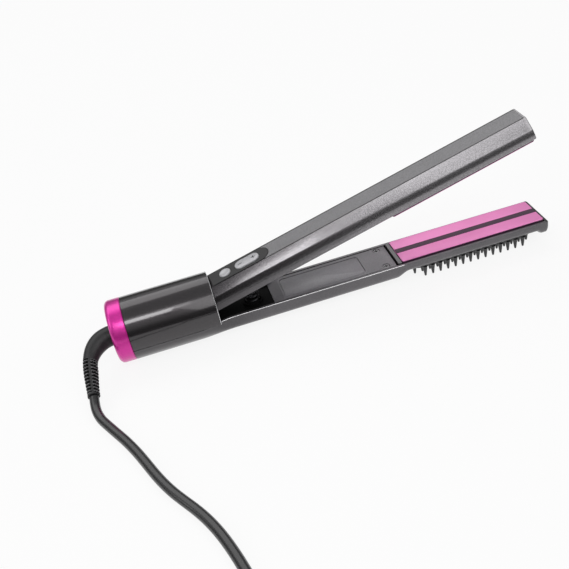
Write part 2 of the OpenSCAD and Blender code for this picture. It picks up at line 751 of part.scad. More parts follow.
module cord_run() {
    p = concat([for (s = [0, 1.5, 3]) swing(relief_at(relief_l + clear + s))], cord_route, [hank_start + [0, cord_d, 0]]);
    echo(cord_run_length = length_of(p), start = p[0], end = hank_start + [0, cord_d, 0]);
    color("#2a2a2c") tube(p, same(p, cord_d / 2), 8);
}
module cord_hank() {
    p = hank_points;
    // least distance between the centre lines of turns at least half a turn apart
    far = hank_steps / 2;
    least = min([for (i = [0:len(p) - 2]) for (j = [i + far:1:len(p) - 1]) norm(p[i] - p[j])]);
    echo(hank_length = length_of(p), hank_least_gap = least - cord_d, last = p[len(p) - 1]);
    color("#2a2a2c") tube(p, same(p, cord_d / 2), 6);
}
module cord_tail() {
    p = concat([hank_points[len(hank_points) - 1]], tail_route, [[plug_x, plug_y, plug_h / 2]]);
    echo(cord_tail_length = length_of(p));
    color("#2a2a2c") tube(p, same(p, cord_d / 2), 8);
}
tie_w = 10;
module hank_tie() {
    half = waist + hank_turn_back * pile + cord_d / 2 + 1;
    top = tie_t + cord_d + pile + 0.6;
    color("#1b1b1d") translate([hank_c[0] - tie_w / 2, hank_c[1], 0]) difference() {
        translate([0, -half - tie_t, 0]) cube([tie_w, 2 * half + 2 * tie_t, top + tie_t]);
        translate([-1, -half, tie_t - 0.1]) cube([tie_w + 2, 2 * half, top - tie_t + 0.1]);
    }
}

plug_root_r = plug_pin_r - 0.4;
root_l = 8;
plug_l = 36;
plug_w = 26;
pin_spacing = 18.6;
pin_l = 19;
module plug_body() {
    color("#222224") translate([plug_x, plug_y, 0]) difference() {
        translate([0, 0, 0]) linear_extrude(plug_h)
            polygon([[0, -5], [6, -6], [16, -plug_w / 2], [plug_l, -plug_w / 2],
                [plug_l, plug_w / 2], [16, plug_w / 2], [6, 6], [0, 5]]);
        for (y = [-pin_spacing / 2, pin_spacing / 2]) translate([plug_l - root_l, y, plug_h / 2])
            rotate([0, 90, 0]) cylinder(h = root_l + 1, r = plug_root_r);
    }
}
module plug_pins() {
    color("#c9c9cc") for (y = [-pin_spacing / 2, pin_spacing / 2]) {
        rod_x(plug_x + plug_l - root_l, plug_x + plug_l + 1, plug_root_r, plug_y + y, plug_h / 2);
        rod_x(plug_x + plug_l, plug_x + plug_l + pin_l, plug_pin_r, plug_y + y, plug_h / 2);
    }
}

upper_handle_shell();
lower_arm_shell();
end_collar();
end_cap();
hinge_bracket();
bracket_screws();
hinge_pin();
hinge_tray();
opening_spring();
inner_cover();
inset_panel();
cover_screws();
lower_plate_carrier();
plate_pads();
comb();
circuit_board();
board_screws();
lower_plate();
lower_stripe();
lower_heater();
upper_arm_shell();
top_panel();
control_panel();
button_board();
upper_inner_cover();
upper_cover_screws();
upper_plate_carrier();
upper_plate();
upper_stripe();
upper_heater();
power_button();
temperature_rocker();
swivel_barrel();
cord_elbow();
cord_run();
cord_hank();
cord_tail();
hank_tie();
plug_body();
plug_pins();
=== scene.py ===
import math

import bmesh
import bpy
from mathutils import Matrix, Vector


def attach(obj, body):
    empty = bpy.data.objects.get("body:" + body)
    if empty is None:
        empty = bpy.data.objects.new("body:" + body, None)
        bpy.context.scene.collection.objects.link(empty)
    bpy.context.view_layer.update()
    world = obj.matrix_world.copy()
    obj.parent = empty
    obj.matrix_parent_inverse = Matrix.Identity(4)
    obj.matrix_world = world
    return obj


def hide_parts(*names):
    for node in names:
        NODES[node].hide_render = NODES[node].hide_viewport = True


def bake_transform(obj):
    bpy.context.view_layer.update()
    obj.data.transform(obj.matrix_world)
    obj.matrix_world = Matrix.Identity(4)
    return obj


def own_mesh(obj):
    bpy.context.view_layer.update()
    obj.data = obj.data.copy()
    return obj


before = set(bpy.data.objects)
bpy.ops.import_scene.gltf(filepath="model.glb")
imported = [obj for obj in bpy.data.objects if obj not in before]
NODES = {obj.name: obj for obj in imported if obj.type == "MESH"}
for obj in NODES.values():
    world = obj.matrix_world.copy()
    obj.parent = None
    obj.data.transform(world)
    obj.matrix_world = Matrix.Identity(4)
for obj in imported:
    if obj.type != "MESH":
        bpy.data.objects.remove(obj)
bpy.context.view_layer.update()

# Sizes in millimetres, as in the part's source: x runs along the handle to the arms' tips, and z up from the
# table. The upper arm's pieces are drawn with the arms closed.
HANDLE_R = 19.0
AXIS_Z = 19.0
RIM_Z = 14.9  # top of the lower arm's walls
RIM_DROP = 4.1  # from the handle's axis down to that rim
REAR_X = -135.0
TIP_X = 135.0
COLLAR_X = -125.5
MOUTH_X = -72.8  # where the handle's sleeve ends
HINGE = (-83.5, 0.0, 24.0)
OPEN_DEG = 14.2
EDGE_Z = 19.1  # lower edge of the upper arm
FLAT_Z = 30.8  # its flat top
PLATE_X0 = 41.0
PLATE_X1 = 132.6
MEET_Z = 16.4  # height where the plates meet
SPRING_X = -50.5
TRAY_Z = 11.7
SAME = 0.01  # lengths closer than this count as equal
TO_METRES = 0.001

# Turns a piece that is drawn closed to its place at rest
OPEN = (
    Matrix.Translation(Vector(HINGE))
    @ Matrix.Rotation(-math.radians(OPEN_DEG), 4, "Y")
    @ Matrix.Translation(-Vector(HINGE))
)


def add_camera():
    """The photograph's viewpoint, found by matching the edges of the handle, arms and plates."""
    cam = bpy.data.cameras.new("camera")
    cam.sensor_width = 36.0
    cam.lens = 54.13
    cam.clip_start = 0.01
    obj = bpy.data.objects.new("camera", cam)
    bpy.context.scene.collection.objects.link(obj)
    right = Vector((0.952313, -0.245898, -0.180963))
    up = Vector((0.286501, 0.515199, 0.807830))
    back = Vector((-0.105393, -0.821078, 0.561064))
    place = Matrix((right, up, back)).transposed().to_4x4()
    place.translation = Vector((-0.083851, -0.42125, 0.304356))
    obj.matrix_world = place
    bpy.context.scene.camera = obj


add_camera()


# Finishes

def material(name, color, roughness, metallic=0.0, coat=0.0, specular=0.5, coat_rough=0.1):
    mat = bpy.data.materials.new(name)
    mat.use_nodes = True
    shader = mat.node_tree.nodes["Principled BSDF"]
    shader.inputs["Base Color"].default_value = (*color, 1.0)
    shader.inputs["Roughness"].default_value = roughness
    shader.inputs["Metallic"].default_value = metallic
    shader.inputs["Coat Weight"].default_value = coat
    shader.inputs["Coat Roughness"].default_value = coat_rough
    shader.inputs["Specular IOR Level"].default_value = specular
    return mat, mat.node_tree, shader


def object_coords(tree, scale=(1.0, 1.0, 1.0)):
    coords = tree.nodes.new("ShaderNodeTexCoord")
    mapping = tree.nodes.new("ShaderNodeMapping")
    mapping.inputs["Scale"].default_value = scale
    tree.links.new(coords.outputs["Object"], mapping.inputs["Vector"])
    return mapping.outputs["Vector"]


def noise(tree, vector, scale, detail=3.0, roughness=0.5):
    node = tree.nodes.new("ShaderNodeTexNoise")
    node.inputs["Scale"].default_value = scale
    node.inputs["Detail"].default_value = detail
    node.inputs["Roughness"].default_value = roughness
    tree.links.new(vector, node.inputs["Vector"])
    return node.outputs["Fac"]


def ramp(tree, value, stops):
    """A colour for each value from 0 to 1, given at its stops."""
    node = tree.nodes.new("ShaderNodeValToRGB")
    while len(node.color_ramp.elements) < len(stops):
        node.color_ramp.elements.new(0.5)
    for element, (place, color) in zip(node.color_ramp.elements, stops):
        element.position = place
        element.color = (*color, 1.0)
    tree.links.new(value, node.inputs["Fac"])
    return node.outputs["Color"]


def to_range(tree, value, low, high, a=0.0, b=1.0):
    """Maps a value between a and b to one between low and high."""
    node = tree.nodes.new("ShaderNodeMapRange")
    node.inputs["From Min"].default_value = a
    node.inputs["From Max"].default_value = b
    node.inputs["To Min"].default_value = low
    node.inputs["To Max"].default_value = high
    tree.links.new(value, node.inputs["Value"])
    return node.outputs["Result"]


def bump(tree, shader, height, strength, distance):
    node = tree.nodes.new("ShaderNodeBump")
    node.inputs["Strength"].default_value = strength
    node.inputs["Distance"].default_value = distance
    tree.links.new(height, node.inputs["Height"])
    tree.links.new(node.outputs["Normal"], shader.inputs["Normal"])


def part_of(tree, vector, axis):
    node = tree.nodes.new("ShaderNodeSeparateXYZ")
    tree.links.new(vector, node.inputs["Vector"])
    return node.outputs[axis]


def mixed(tree, factor, low, high):
    """The colour low where factor is 0, and high where it is 1."""
    node = tree.nodes.new("ShaderNodeMix")
    node.data_type = "RGBA"
    tree.links.new(factor, node.inputs["Factor"])
    # A mix node repeats its sockets' names for each kind of data, so the colours go by number
    for socket, color in ((node.inputs[6], low), (node.inputs[7], high)):
        if isinstance(color, tuple):
            socket.default_value = (*color, 1.0)
        else:
            tree.links.new(color, socket)
    return node.outputs[2]


def shade(color, factor):
    return tuple(min(1.0, c * factor) for c in color)


def moulded(name, color, roughness, coat=0.0, grain=2200.0, depth=0.00002, spread=0.12):
    """Moulded plastic or rubber: cloudy tone, uneven gloss and a fine surface grain."""
    mat, tree, shader = material(name, color, roughness, coat=coat)
    vector = object_coords(tree)
    cloud = noise(tree, vector, 60.0, 4.0)
    tone = ramp(tree, cloud, [(0.3, shade(color, 1 - spread)), (0.7, shade(color, 1 + spread))])
    tree.links.new(tone, shader.inputs["Base Color"])
    gloss = to_range(tree, cloud, roughness * 0.85, roughness * 1.15)
    tree.links.new(gloss, shader.inputs["Roughness"])
    bump(tree, shader, noise(tree, vector, grain, 2.0), 0.35, depth)
    return mat


SEAM_BLACK = (0.012, 0.012, 0.013)
SEAM_SOFT = 0.00008


def satin(
    name, color, roughness, coat=0.5, coat_rough=0.12, grain=0.25, metallic=0.0,
    painted_shade=None, fade=(-0.085, -0.035), seam=None,
):
    """Smooth painted plastic with a fine pearl grain and slightly uneven gloss.

    A painted shade colour takes over as x falls through fade, so the piece is darker towards the handle.
    Further than seam from the middle plane the paint is black, for a dark line along both edges of a piece.
    Both are in metres.
    """
    mat, tree, shader = material(name, color, roughness, metallic, coat, coat_rough=coat_rough)
    vector = object_coords(tree)
    cloud = noise(tree, vector, 45.0, 4.0)
    pearl = noise(tree, vector, 1700.0, 1.0)
    blend = tree.nodes.new("ShaderNodeMath")
    blend.operation = "MULTIPLY_ADD"
    blend.inputs[1].default_value = grain
    tree.links.new(to_range(tree, pearl, 0.0, 1.0, 0.34, 0.66), blend.inputs[0])
    tree.links.new(to_range(tree, cloud, 0.0, 1.0 - grain), blend.inputs[2])
    speckle = blend.outputs["Value"]
    tone = ramp(tree, speckle, [(0.25, shade(color, 0.82)), (0.75, shade(color, 1.20))])
    if seam:
        side = tree.nodes.new("ShaderNodeMath")
        side.operation = "ABSOLUTE"
        tree.links.new(part_of(tree, vector, "Y"), side.inputs[0])
        beyond = to_range(tree, side.outputs["Value"], 0.0, 1.0, seam, seam + SEAM_SOFT)
        tone = mixed(tree, beyond, tone, SEAM_BLACK)
    # Painted shade: a darker copy of the colour takes over towards the handle
    if painted_shade:
        dark = ramp(tree, speckle, [(0.25, shade(painted_shade, 0.86)), (0.75, shade(painted_shade, 1.16))])
        tone = mixed(tree, to_range(tree, part_of(tree, vector, "X"), 0.0, 1.0, *fade), dark, tone)
    tree.links.new(tone, shader.inputs["Base Color"])
    tree.links.new(to_range(tree, cloud, roughness * 0.9, roughness * 1.1), shader.inputs["Roughness"])
    bump(tree, shader, pearl, 0.12, 0.00001)
    return mat


def brushed(name, color, roughness, scale=(3000.0, 120.0, 3000.0)):
    """Metal with fine drawn lines."""
    mat, tree, shader = material(name, color, roughness, metallic=1.0)
    lines = noise(tree, object_coords(tree, scale), 1.0, 3.0)
    tone = ramp(tree, lines, [(0.3, shade(color, 0.85)), (0.7, shade(color, 1.1))])
    tree.links.new(tone, shader.inputs["Base Color"])
    tree.links.new(to_range(tree, lines, roughness * 0.7, roughness * 1.3), shader.inputs["Roughness"])
    return mat


def coated_plate(name, color):
    """Ceramic coating on metal: even colour with a slight pearl and hardly visible long strokes."""
    mat, tree, shader = material(name, color, 0.42, metallic=0.1, coat=0.12, coat_rough=0.25)
    strokes = noise(tree, object_coords(tree, (14.0, 900.0, 900.0)), 1.0, 3.0)
    cloud = noise(tree, object_coords(tree), 30.0, 3.0)
    tone = ramp(tree, cloud, [(0.35, shade(color, 0.94)), (0.65, shade(color, 1.05))])
    tree.links.new(tone, shader.inputs["Base Color"])
    tree.links.new(to_range(tree, strokes, 0.38, 0.5), shader.inputs["Roughness"])
    return mat


HANDLE_END_SHADE = (0.050, 0.046, 0.050)  # painted shade: both arms darker towards the handle, where they reflect less light
PANEL_SEAM = 0.00615

SHELL = satin(
    "charcoal_satin", (0.038, 0.034, 0.037), 0.24, coat=0.9, coat_rough=0.07, grain=0.6, metallic=0.8,
)
# The two arms below take painted shade towards the handle
TOP_SHELL = satin(
    "top_arm_satin", (0.228, 0.219, 0.230), 0.22, coat=0.6, coat_rough=0.09, grain=0.6, metallic=0.9,
    painted_shade=HANDLE_END_SHADE, fade=(-0.075, 0.03),
)
ARM_GREY = satin(
    "lower_arm_satin", (0.112, 0.107, 0.114), 0.30, coat=0.4, coat_rough=0.14, metallic=0.6, painted_shade=HANDLE_END_SHADE,
)
COLLAR = satin("magenta_satin", (0.66, 0.020, 0.33), 0.33, coat=0.5, coat_rough=0.20, metallic=0.6)
PANEL_GREY = satin(
    "grey_top_panel", (0.210, 0.206, 0.215), 0.42, coat=0.1, coat_rough=0.3, grain=0.6, seam=PANEL_SEAM,
)
INSET_GREY = satin("inset_grey", (0.285, 0.275, 0.295), 0.38, coat=0.15, coat_rough=0.3)
COVER_GREY = satin("inner_cover_satin", (0.195, 0.187, 0.202), 0.40, coat=0.15, coat_rough=0.3)
GREY_SCREW = satin("grey_screws", (0.230, 0.225, 0.235), 0.35, coat=0.2, metallic=0.3)
# Painted highlight: a light grey for the thin bright line along rounded rims
RIM_HIGHLIGHT_PAINT = satin("painted_rim_highlight", (0.75, 0.74, 0.76), 0.2, coat=0.3, metallic=0.6)
BLACK_GLOSS = moulded("gloss_black", (0.006, 0.006, 0.007), 0.12, coat=0.6, depth=0.000005)
BLACK_MATTE = moulded("matte_black", (0.018, 0.018, 0.020), 0.55)
COMB_BLACK = moulded("comb_black", (0.020, 0.020, 0.022), 0.36)
# The stripe's own dark violet, also used as painted shade on the plates' sides
STRIPE_AND_SIDE_SHADE = moulded("stripe_violet_and_side_shade", (0.052, 0.018, 0.044), 0.5)
SILICONE = moulded("silicone_pad", (0.55, 0.20, 0.10), 0.7)
CERAMIC = moulded("white_ceramic", (0.70, 0.66, 0.56), 0.6)
BOARD_GREEN = moulded("green_board", (0.02, 0.13, 0.05), 0.4)
BUTTON_SILVER = moulded("silver_button", (0.50, 0.50, 0.52), 0.32, coat=0.2)
CORD_RUBBER = moulded("cord_rubber", (0.012, 0.012, 0.013), 0.34, coat=0.3, grain=1500.0)
ELBOW_RUBBER = moulded("elbow_rubber", (0.013, 0.013, 0.014), 0.48, grain=1500.0)
# Painted highlight: a lighter copy of the elbow's rubber for the ribs' crests
RIB_CREST_HIGHLIGHT = moulded("rib_crest_painted_highlight", (0.115, 0.115, 0.120), 0.40, grain=1500.0)
# Painted shade: near black with hardly any shine, for grooves, recesses, the hinge tray and the hollow inside
# the lower arm
PAINTED_SHADE_BLACK = moulded("painted_shade_black", (0.004, 0.004, 0.004), 0.7)
PAINTED_SHADE_BLACK.node_tree.nodes["Principled BSDF"].inputs["Specular IOR Level"].default_value = 0.1
PLATE_PINK = coated_plate("pink_ceramic", (0.93, 0.300, 0.64))
STEEL = brushed("zinc_steel", (0.55, 0.56, 0.58), 0.32)
# A dark steel for the opening spring
SPRING_BLACK = brushed("dark_steel_spring", (0.050, 0.050, 0.054), 0.35)
DARK_SCREW = brushed("black_zinc", (0.14, 0.14, 0.15), 0.38)
PIN_METAL = brushed("nickel_pins", (0.62, 0.61, 0.60), 0.25, (3000.0, 3000.0, 120.0))


# Making pieces: shapes are drawn in millimetres and shrunk to metres at the end

WELD = 0.0005
LEVEL = 0.0001


def smooth(bm, sharp):
    """Shades the faces smooth, with a hard edge where two meet at sharp radians or more."""
    for f in bm.faces:
        f.smooth = True
    for e in bm.edges:
        e.smooth = len(e.link_faces) == 2 and e.calc_face_angle(math.pi) < sharp


def shrunk(bm, name):
    """A new object that holds the shape in metres."""
    bmesh.ops.scale(bm, vec=(TO_METRES,) * 3, verts=bm.verts)
    mesh = bpy.data.meshes.new(name)
    bm.to_mesh(mesh)
    bm.free()
    obj = bpy.data.objects.new(name, mesh)
    bpy.context.scene.collection.objects.link(obj)
    return obj


def piece(bm, name, body, finish, node=None, lift=False, sharp=0.6):
    """A visible piece that rides on body and stands in for node, which can be one name or several."""
    bmesh.ops.remove_doubles(bm, verts=bm.verts, dist=WELD)
    bmesh.ops.recalc_face_normals(bm, faces=bm.faces)
    smooth(bm, sharp)
    if lift:
        bmesh.ops.transform(bm, matrix=OPEN, verts=bm.verts)
    obj = shrunk(bm, name)
    obj.data.materials.append(finish)
    if body:
        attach(obj, body)
    if node:
        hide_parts(*([node] if isinstance(node, str) else node))
    return obj


def second_finish(obj, finish, test):
    """Gives finish to the faces of obj whose centre and normal, in millimetres, pass test."""
    obj.data.materials.append(finish)
    index = len(obj.data.materials) - 1
    for face in obj.data.polygons:
        if test(face.center / TO_METRES, face.normal):
            face.material_index = index


def loft(bm, rings, caps=True):
    """A skin drawn out from ring to ring, closed at both ends."""
    verts = [bm.verts.new(p) for p in rings[0]]
    count = len(verts)
    edges = [bm.edges.new((verts[i], verts[(i + 1) % count])) for i in range(count)]
    if caps:
        bmesh.ops.contextual_create(bm, geom=edges)
    for ring in rings[1:]:
        made = bmesh.ops.extrude_edge_only(bm, edges=edges)["geom"]
        fresh = {g for g in made if isinstance(g, bmesh.types.BMVert)}
        moved = []
        for v, place in zip(verts, ring):
            other = next(e.other_vert(v) for e in v.link_edges if e.other_vert(v) in fresh)
            other.co = place
            moved.append(other)
        verts = moved
        edges = [bm.edges.get((verts[i], verts[(i + 1) % count])) for i in range(count)]
    if caps:
        bmesh.ops.contextual_create(bm, geom=edges)


def edges_where(bm, test):
    return [e for e in bm.edges if test(*[v.co for v in e.verts])]


def bevel(bm, edges, width, segments=2):
    bmesh.ops.bevel(
        bm, geom=edges, offset=width, segments=segments, profile=0.5, affect="EDGES", material=-1,
    )


def draw_along(bm, outline, shift):
    """A solid from a flat outline that is drawn along shift."""
    face = bm.faces.new([bm.verts.new(p) for p in outline])
    grown = bmesh.ops.extrude_face_region(bm, geom=[face])["geom"]
    moved = [g for g in grown if isinstance(g, bmesh.types.BMVert)]
    bmesh.ops.translate(bm, vec=shift, verts=moved)


SHARP_TURN = 0.7  # radians between the faces of an edge worth rounding


def slab(bm, low, high, round_z=0.0, soften=0.0, steps=6):
    """A block from low to high, with rounded upright corners and softened level edges."""
    low, high = Vector(low), Vector(high)
    made = bmesh.ops.create_cube(bm, size=1.0)["verts"]
    bmesh.ops.scale(bm, vec=high - low, verts=made)
    bmesh.ops.translate(bm, vec=(low + high) / 2, verts=made)
    if round_z:
        edges = {e for v in made for e in v.link_edges}
        bevel(bm, [e for e in edges if abs(e.verts[0].co.z - e.verts[1].co.z) > LEVEL], round_z, steps)
    if soften:
        rims = []
        for e in bm.edges:
            if len(e.link_faces) != 2:
                continue
            a, b = e.verts[0].co, e.verts[1].co
            inside = all(low[i] - SAME <= p[i] <= high[i] + SAME for p in (a, b) for i in range(3))
            if inside and abs(a.z - b.z) < LEVEL and e.calc_face_angle(0) > SHARP_TURN:
                rims.append(e)
        bevel(bm, rims, soften)


# For each axis of turning: its own direction, and the one in which the radius is drawn
TURNING = {
    "X": (Vector((1, 0, 0)), Vector((0, 0, 1))),
    "Y": (Vector((0, 1, 0)), Vector((0, 0, 1))),
    "Z": (Vector((0, 0, 1)), Vector((1, 0, 0))),
}


def turned(bm, profile, centre, axis="X", steps=48):
    """A profile of (along, radius) points spun round an axis through centre."""
    along, out = TURNING[axis]
    centre = Vector(centre)
    verts = [bm.verts.new(centre + along * s + out * r) for s, r in profile]
    edges = [bm.edges.new(pair) for pair in zip(verts, verts[1:])]
    bmesh.ops.spin(
        bm, geom=verts + edges, cent=centre, axis=along, angle=2 * math.pi, steps=steps, use_merge=True,
    )
    bmesh.ops.remove_doubles(bm, verts=bm.verts, dist=WELD)


def ease(t):
    """A soft step from 0 to 1."""
    t = min(1.0, max(0.0, t))
    return t * t * (3 - 2 * t)


# Cord

def catmull(points, per):
    """A smooth path through the points, in per steps from each to the next."""
    pts = [Vector(p) for p in points]
    pts = [2 * pts[0] - pts[1]] + pts + [2 * pts[-1] - pts[-2]]
    path = []
    for i in range(1, len(pts) - 2):
        a, b, c, d = pts[i - 1:i + 3]
        for k in range(per):
            t = k / per
            path.append(0.5 * (
                2 * b + (c - a) * t + (2 * a - 5 * b + 4 * c - d) * t * t + (3 * b - a - 3 * c + d) * t ** 3
            ))
    path.append(pts[-2])
    return path


def direction(path, i):
    """The way a path runs at its point i."""
    return (path[min(i + 1, len(path) - 1)] - path[max(i - 1, 0)]).normalized()


def skin(bm, rings):
    """Faces from each ring of points to the next and over both ends. Gives those between, ring by ring."""
    loops = [[bm.verts.new(q) for q in ring] for ring in rings]
    rows = []
    for a, b in zip(loops, loops[1:]):
        after = [(k + 1) % len(a) for k in range(len(a))]
        rows.append([bm.faces.new((a[k], b[k], b[j], a[j])) for k, j in enumerate(after)])
    bm.faces.new(loops[0])
    bm.faces.new(loops[-1][::-1])
    return rows


def tube(bm, path, radius, sides):
    angles = [2 * math.pi * (k + 0.5) / sides for k in range(sides)]
    rings = []
    for i, p in enumerate(path):
        along = direction(path, i)
        side = along.cross(Vector((0, 0, 1))).normalized()
        rise = side.cross(along)
        rings.append([p + radius * (math.cos(a) * side - math.sin(a) * rise) for a in angles])
    skin(bm, rings)


# The solids' elbow and strain relief, in a plane that the swivel turns by ELBOW_DEG
ELBOW_DEG = 72.0
BEND_R = 14.5
BEND_DEG = 86.0
ELBOW_L = 1.0
RELIEF_L = 26.0

CORD_D = 5.5
LAID_D = 6.0  # the solids' cord, which the path is laid for
CORD_GAP = 0.03  # between the cord and the table


def swing(p):
    """Turns a point about the handle's axis, with the swivel. Its z counts from that axis."""
    c, s = math.cos(math.radians(ELBOW_DEG)), math.sin(math.radians(ELBOW_DEG))
    return Vector((p[0], p[2] * s + p[1] * c, AXIS_Z + p[2] * c - p[1] * s))


def bend_at(deg):
    a = math.radians(deg)
    return Vector((REAR_X - ELBOW_L - BEND_R * math.sin(a), 0.0, -BEND_R + BEND_R * math.cos(a)))


def relief_at(s):
    """The point s along the strain relief from the end of the bend."""
    a = math.radians(BEND_DEG)
    return bend_at(BEND_DEG) + s * Vector((-math.cos(a), 0.0, -math.sin(a)))


# The cord's middle line over the table, after the photograph as far as it shows there
ROUTE = [
    (-152.5, -44.4, 4.65), (-152, -48.3, 3.8), (-150.9, -52.1, 3.25), (-149.3, -56, 3),
    (-144.2, -66.2, 3), (-138.8, -76.8, 3), (-134.2, -87.3, 3), (-130.5, -97, 3), (-127.2, -106, 3),
    (-123.7, -114.5, 3), (-119.8, -122.5, 3), (-115.5, -130, 3), (-110.8, -138, 3),
    (-106.3, -147, 3), (-102.2, -157.5, 3), (-98.5, -170, 3), (-95.2, -184, 3), (-91.8, -200, 3),
    (-88.4, -216, 3), (-85.6, -233, 3), (-84.6, -250, 3), (-85.4, -267, 3.2), (-87, -284, 3.7),
    (-88.3, -297, 4),
]
# From the hank to the plug
TAIL = [
    (-49, -344.2, 10.4), (-41, -347.6, 8.6), (-33, -352, 6.2), (-25, -356.5, 4.2), (-17, -360, 3.1),
    (-9, -362.4, 3.2), (-1, -363.6, 4.6), (7, -364, 6.4),
]
PLUG = Vector((14.0, -364.0, 0.0))
PLUG_Z = 7  # height of the plug's middle line
PLUG_ROUND = 3.2  # exponent of its rounded section

# Hank with two lobes and a narrow waist. Its turns run inwards up to the turn HANK_BACK, then climb and run
# outwards again on top of the first layer.
HANK_C = (-12.0, -310.0)
HANK_HALF_L = 62.0
HANK_TURNS = 4.1
HANK_STEPS = 400
HANK_BACK = 2.2
CLIMB = 0.25
WAIST = 4.5
LOBE = 40.0
PILE = 6.6  # from one turn or layer to the next
TIE_T = 1.0  # the band round the waist
TIE_R = 2.2


def hank_point(t):
    """The cord's middle line in the hank, t turns from its start."""
    a = math.radians(180 + 360 * t)
    wide = WAIST + LOBE * math.cos(a) ** 2
    x, y = HANK_HALF_L * math.cos(a), math.sin(a) * wide
    dx = -HANK_HALF_L * math.sin(a)
    dy = math.cos(a) * wide - 2 * LOBE * math.sin(a) ** 2 * math.cos(a)
    size = math.hypot(dx, dy)
    out = PILE * abs(HANK_BACK - t)
    up = ease((t - HANK_BACK + CLIMB) / (2 * CLIMB))
    return Vector((
        HANK_C[0] + x + out * dy / size,
        HANK_C[1] + y - out * dx / size,
        LAID_D / 2 + TIE_T + up * PILE,
    ))


def add_cord():
    """Cord from the strain relief over the table, into the hank and out to the plug."""
    start = [swing(relief_at(RELIEF_L + 0.3 + s)) for s in (0, 1.5, 3)]
    first = hank_point(0)
    run = catmull(start + [Vector(p) for p in ROUTE] + [first + Vector((0, LAID_D, 0)), first], 4)
    turns = [hank_point(HANK_TURNS * i / HANK_STEPS) for i in range(1, HANK_STEPS + 1)]
    off = (turns[-1] - turns[-2]).normalized()
    leave = turns[-1] + LAID_D * Vector((off.x, off.y, 0)).normalized()
    tail = catmull([turns[-1], leave] + [Vector(p) for p in TAIL] + [PLUG + Vector((0, 0, PLUG_Z))], 4)[1:]
    path = [p - Vector((0, 0, LAID_D / 2 - CORD_D / 2 - CORD_GAP)) for p in run + turns + tail]
    bm = bmesh.new()
    tube(bm, path, CORD_D / 2, 16)
    obj = piece(bm, "mains_cord", None, CORD_RUBBER, ["cord_run", "cord_hank", "cord_tail"])
    length = sum((b - a).length for a, b in zip(path, path[1:])) / 1000
    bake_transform(obj)
    return obj, [p / 1000 for p in path], length


# The visible elbow's middle line as x and z, the latter from the handle's axis
ELBOW_LINE = [
    (-135, -1.6), (-138, -2.0), (-142, -3.4), (-145.6, -6.2), (-148.6, -10.4), (-150.7, -16), (-151.4, -22.5),
    (-151.9, -29.5), (-152.15, -35), (-152.3, -39.43),
]
ELBOW_DROP = 37.8
ELBOW_SIDES = 48
RIBS = 10
RIB_ZONE = (-16.2, -38.2)
RIB_LEAN = 0.9
GROOVE = 1.5
SPINE_TURN = -0.1  # the smooth spines lie a quarter of a turn from this angle


def off_spine(a):
    """0 in the middle of a spine and 1 furthest from it."""
    return abs(math.cos(a - SPINE_TURN))


def groove_at(place, a):
    """Depth of the groove at this place, counted in ribs, and at the angle a."""
    if not 0 < place < RIBS:
        return 0.0
    return GROOVE * ease((abs((place % 1) - 0.5) - 0.17) / 0.09) * ease((off_spine(a) - 0.16) / 0.14)


def add_elbow():
    """Smooth elbow that tapers into a strain relief with tilted ribs on both sides of a smooth spine."""
    line = catmull([(x, 0, z) for x, z in ELBOW_LINE], 24)
    pitch = (RIB_ZONE[0] - RIB_ZONE[1]) / RIBS
    angles = [2 * math.pi * j / ELBOW_SIDES for j in range(ELBOW_SIDES)]
    side = Vector((0, 1, 0))
    rings, cuts = [], []
    for i, p in enumerate(line):
        out = side.cross(direction(line, i))
        k = min(1.0, (ELBOW_LINE[0][1] - p.z) / ELBOW_DROP)
        radius = 6.0 - 1.75 * ease(k / 0.42) - 0.75 * ease((k - 0.5) / 0.5)
        cuts.append([groove_at((RIB_ZONE[0] - p.z + RIB_LEAN * math.cos(a)) / pitch, a) for a in angles])
        rings.append([
            swing(p + (radius - cut) * (math.cos(a) * out + math.sin(a) * side))
            for a, cut in zip(angles, cuts[i])
        ])
    bm = bmesh.new()
    for i, row in enumerate(skin(bm, rings)):
        for j, face in enumerate(row):
            after = (j + 1) % ELBOW_SIDES
            deep = sum(cuts[m][n] for m in (i, i + 1) for n in (j, after)) / 4
            crest = RIB_ZONE[1] < line[i].z < RIB_ZONE[0] and off_spine(angles[j]) > 0.25
            # Painted shade in the grooves and painted highlight on the ribs' crests
            face.material_index = 1 if deep > 0.4 else 2 if crest else 0
    obj = piece(bm, "ribbed_elbow", "cord_swivel", ELBOW_RUBBER, "cord_elbow", sharp=0.9)
    obj.data.materials.append(PAINTED_SHADE_BLACK)
    obj.data.materials.append(RIB_CREST_HIGHLIGHT)
    return obj


def add_plug():
    """Moulded plug with two round pins. Its sections are (along, half width, half height)."""
    bm = bmesh.new()
    sections = [
        (0, 5.0, 5.0), (0.8, 5.6, 5.6), (7, 6.4, 6.0), (12, 9.5, 6.4), (17, 12.4, 6.9), (22, 12.9, 6.95),
        (34.6, 12.9, 6.95), (35.6, 12.2, 6.3), (36, 11.6, 5.8),
    ]
    rings = []
    for s, half, tall in sections:
        ring = []
        for k in range(40):
            a = 2 * math.pi * k / 40
            c, n = math.cos(a), math.sin(a)
            r = (abs(c / half) ** PLUG_ROUND + abs(n / tall) ** PLUG_ROUND) ** (-1 / PLUG_ROUND)
            ring.append(PLUG + Vector((s, r * c, PLUG_Z + r * n)))
        rings.append(ring)
    loft(bm, rings)
    body = piece(bm, "plug_moulding", "handle", BLACK_MATTE, "plug_body")
    bm = bmesh.new()
    pin = [(0, 0), (0, 1.6), (8, 1.6), (8, 2.0), (25.8, 2.0), (26.6, 1.7), (27, 1.1), (27, 0)]
    for side in (-1, 1):
        turned(bm, pin, PLUG + Vector((28, side * 9.3, PLUG_Z)), steps=24)
    pins = piece(bm, "round_pins", "handle", PIN_METAL, "plug_pins")
    return body, pins


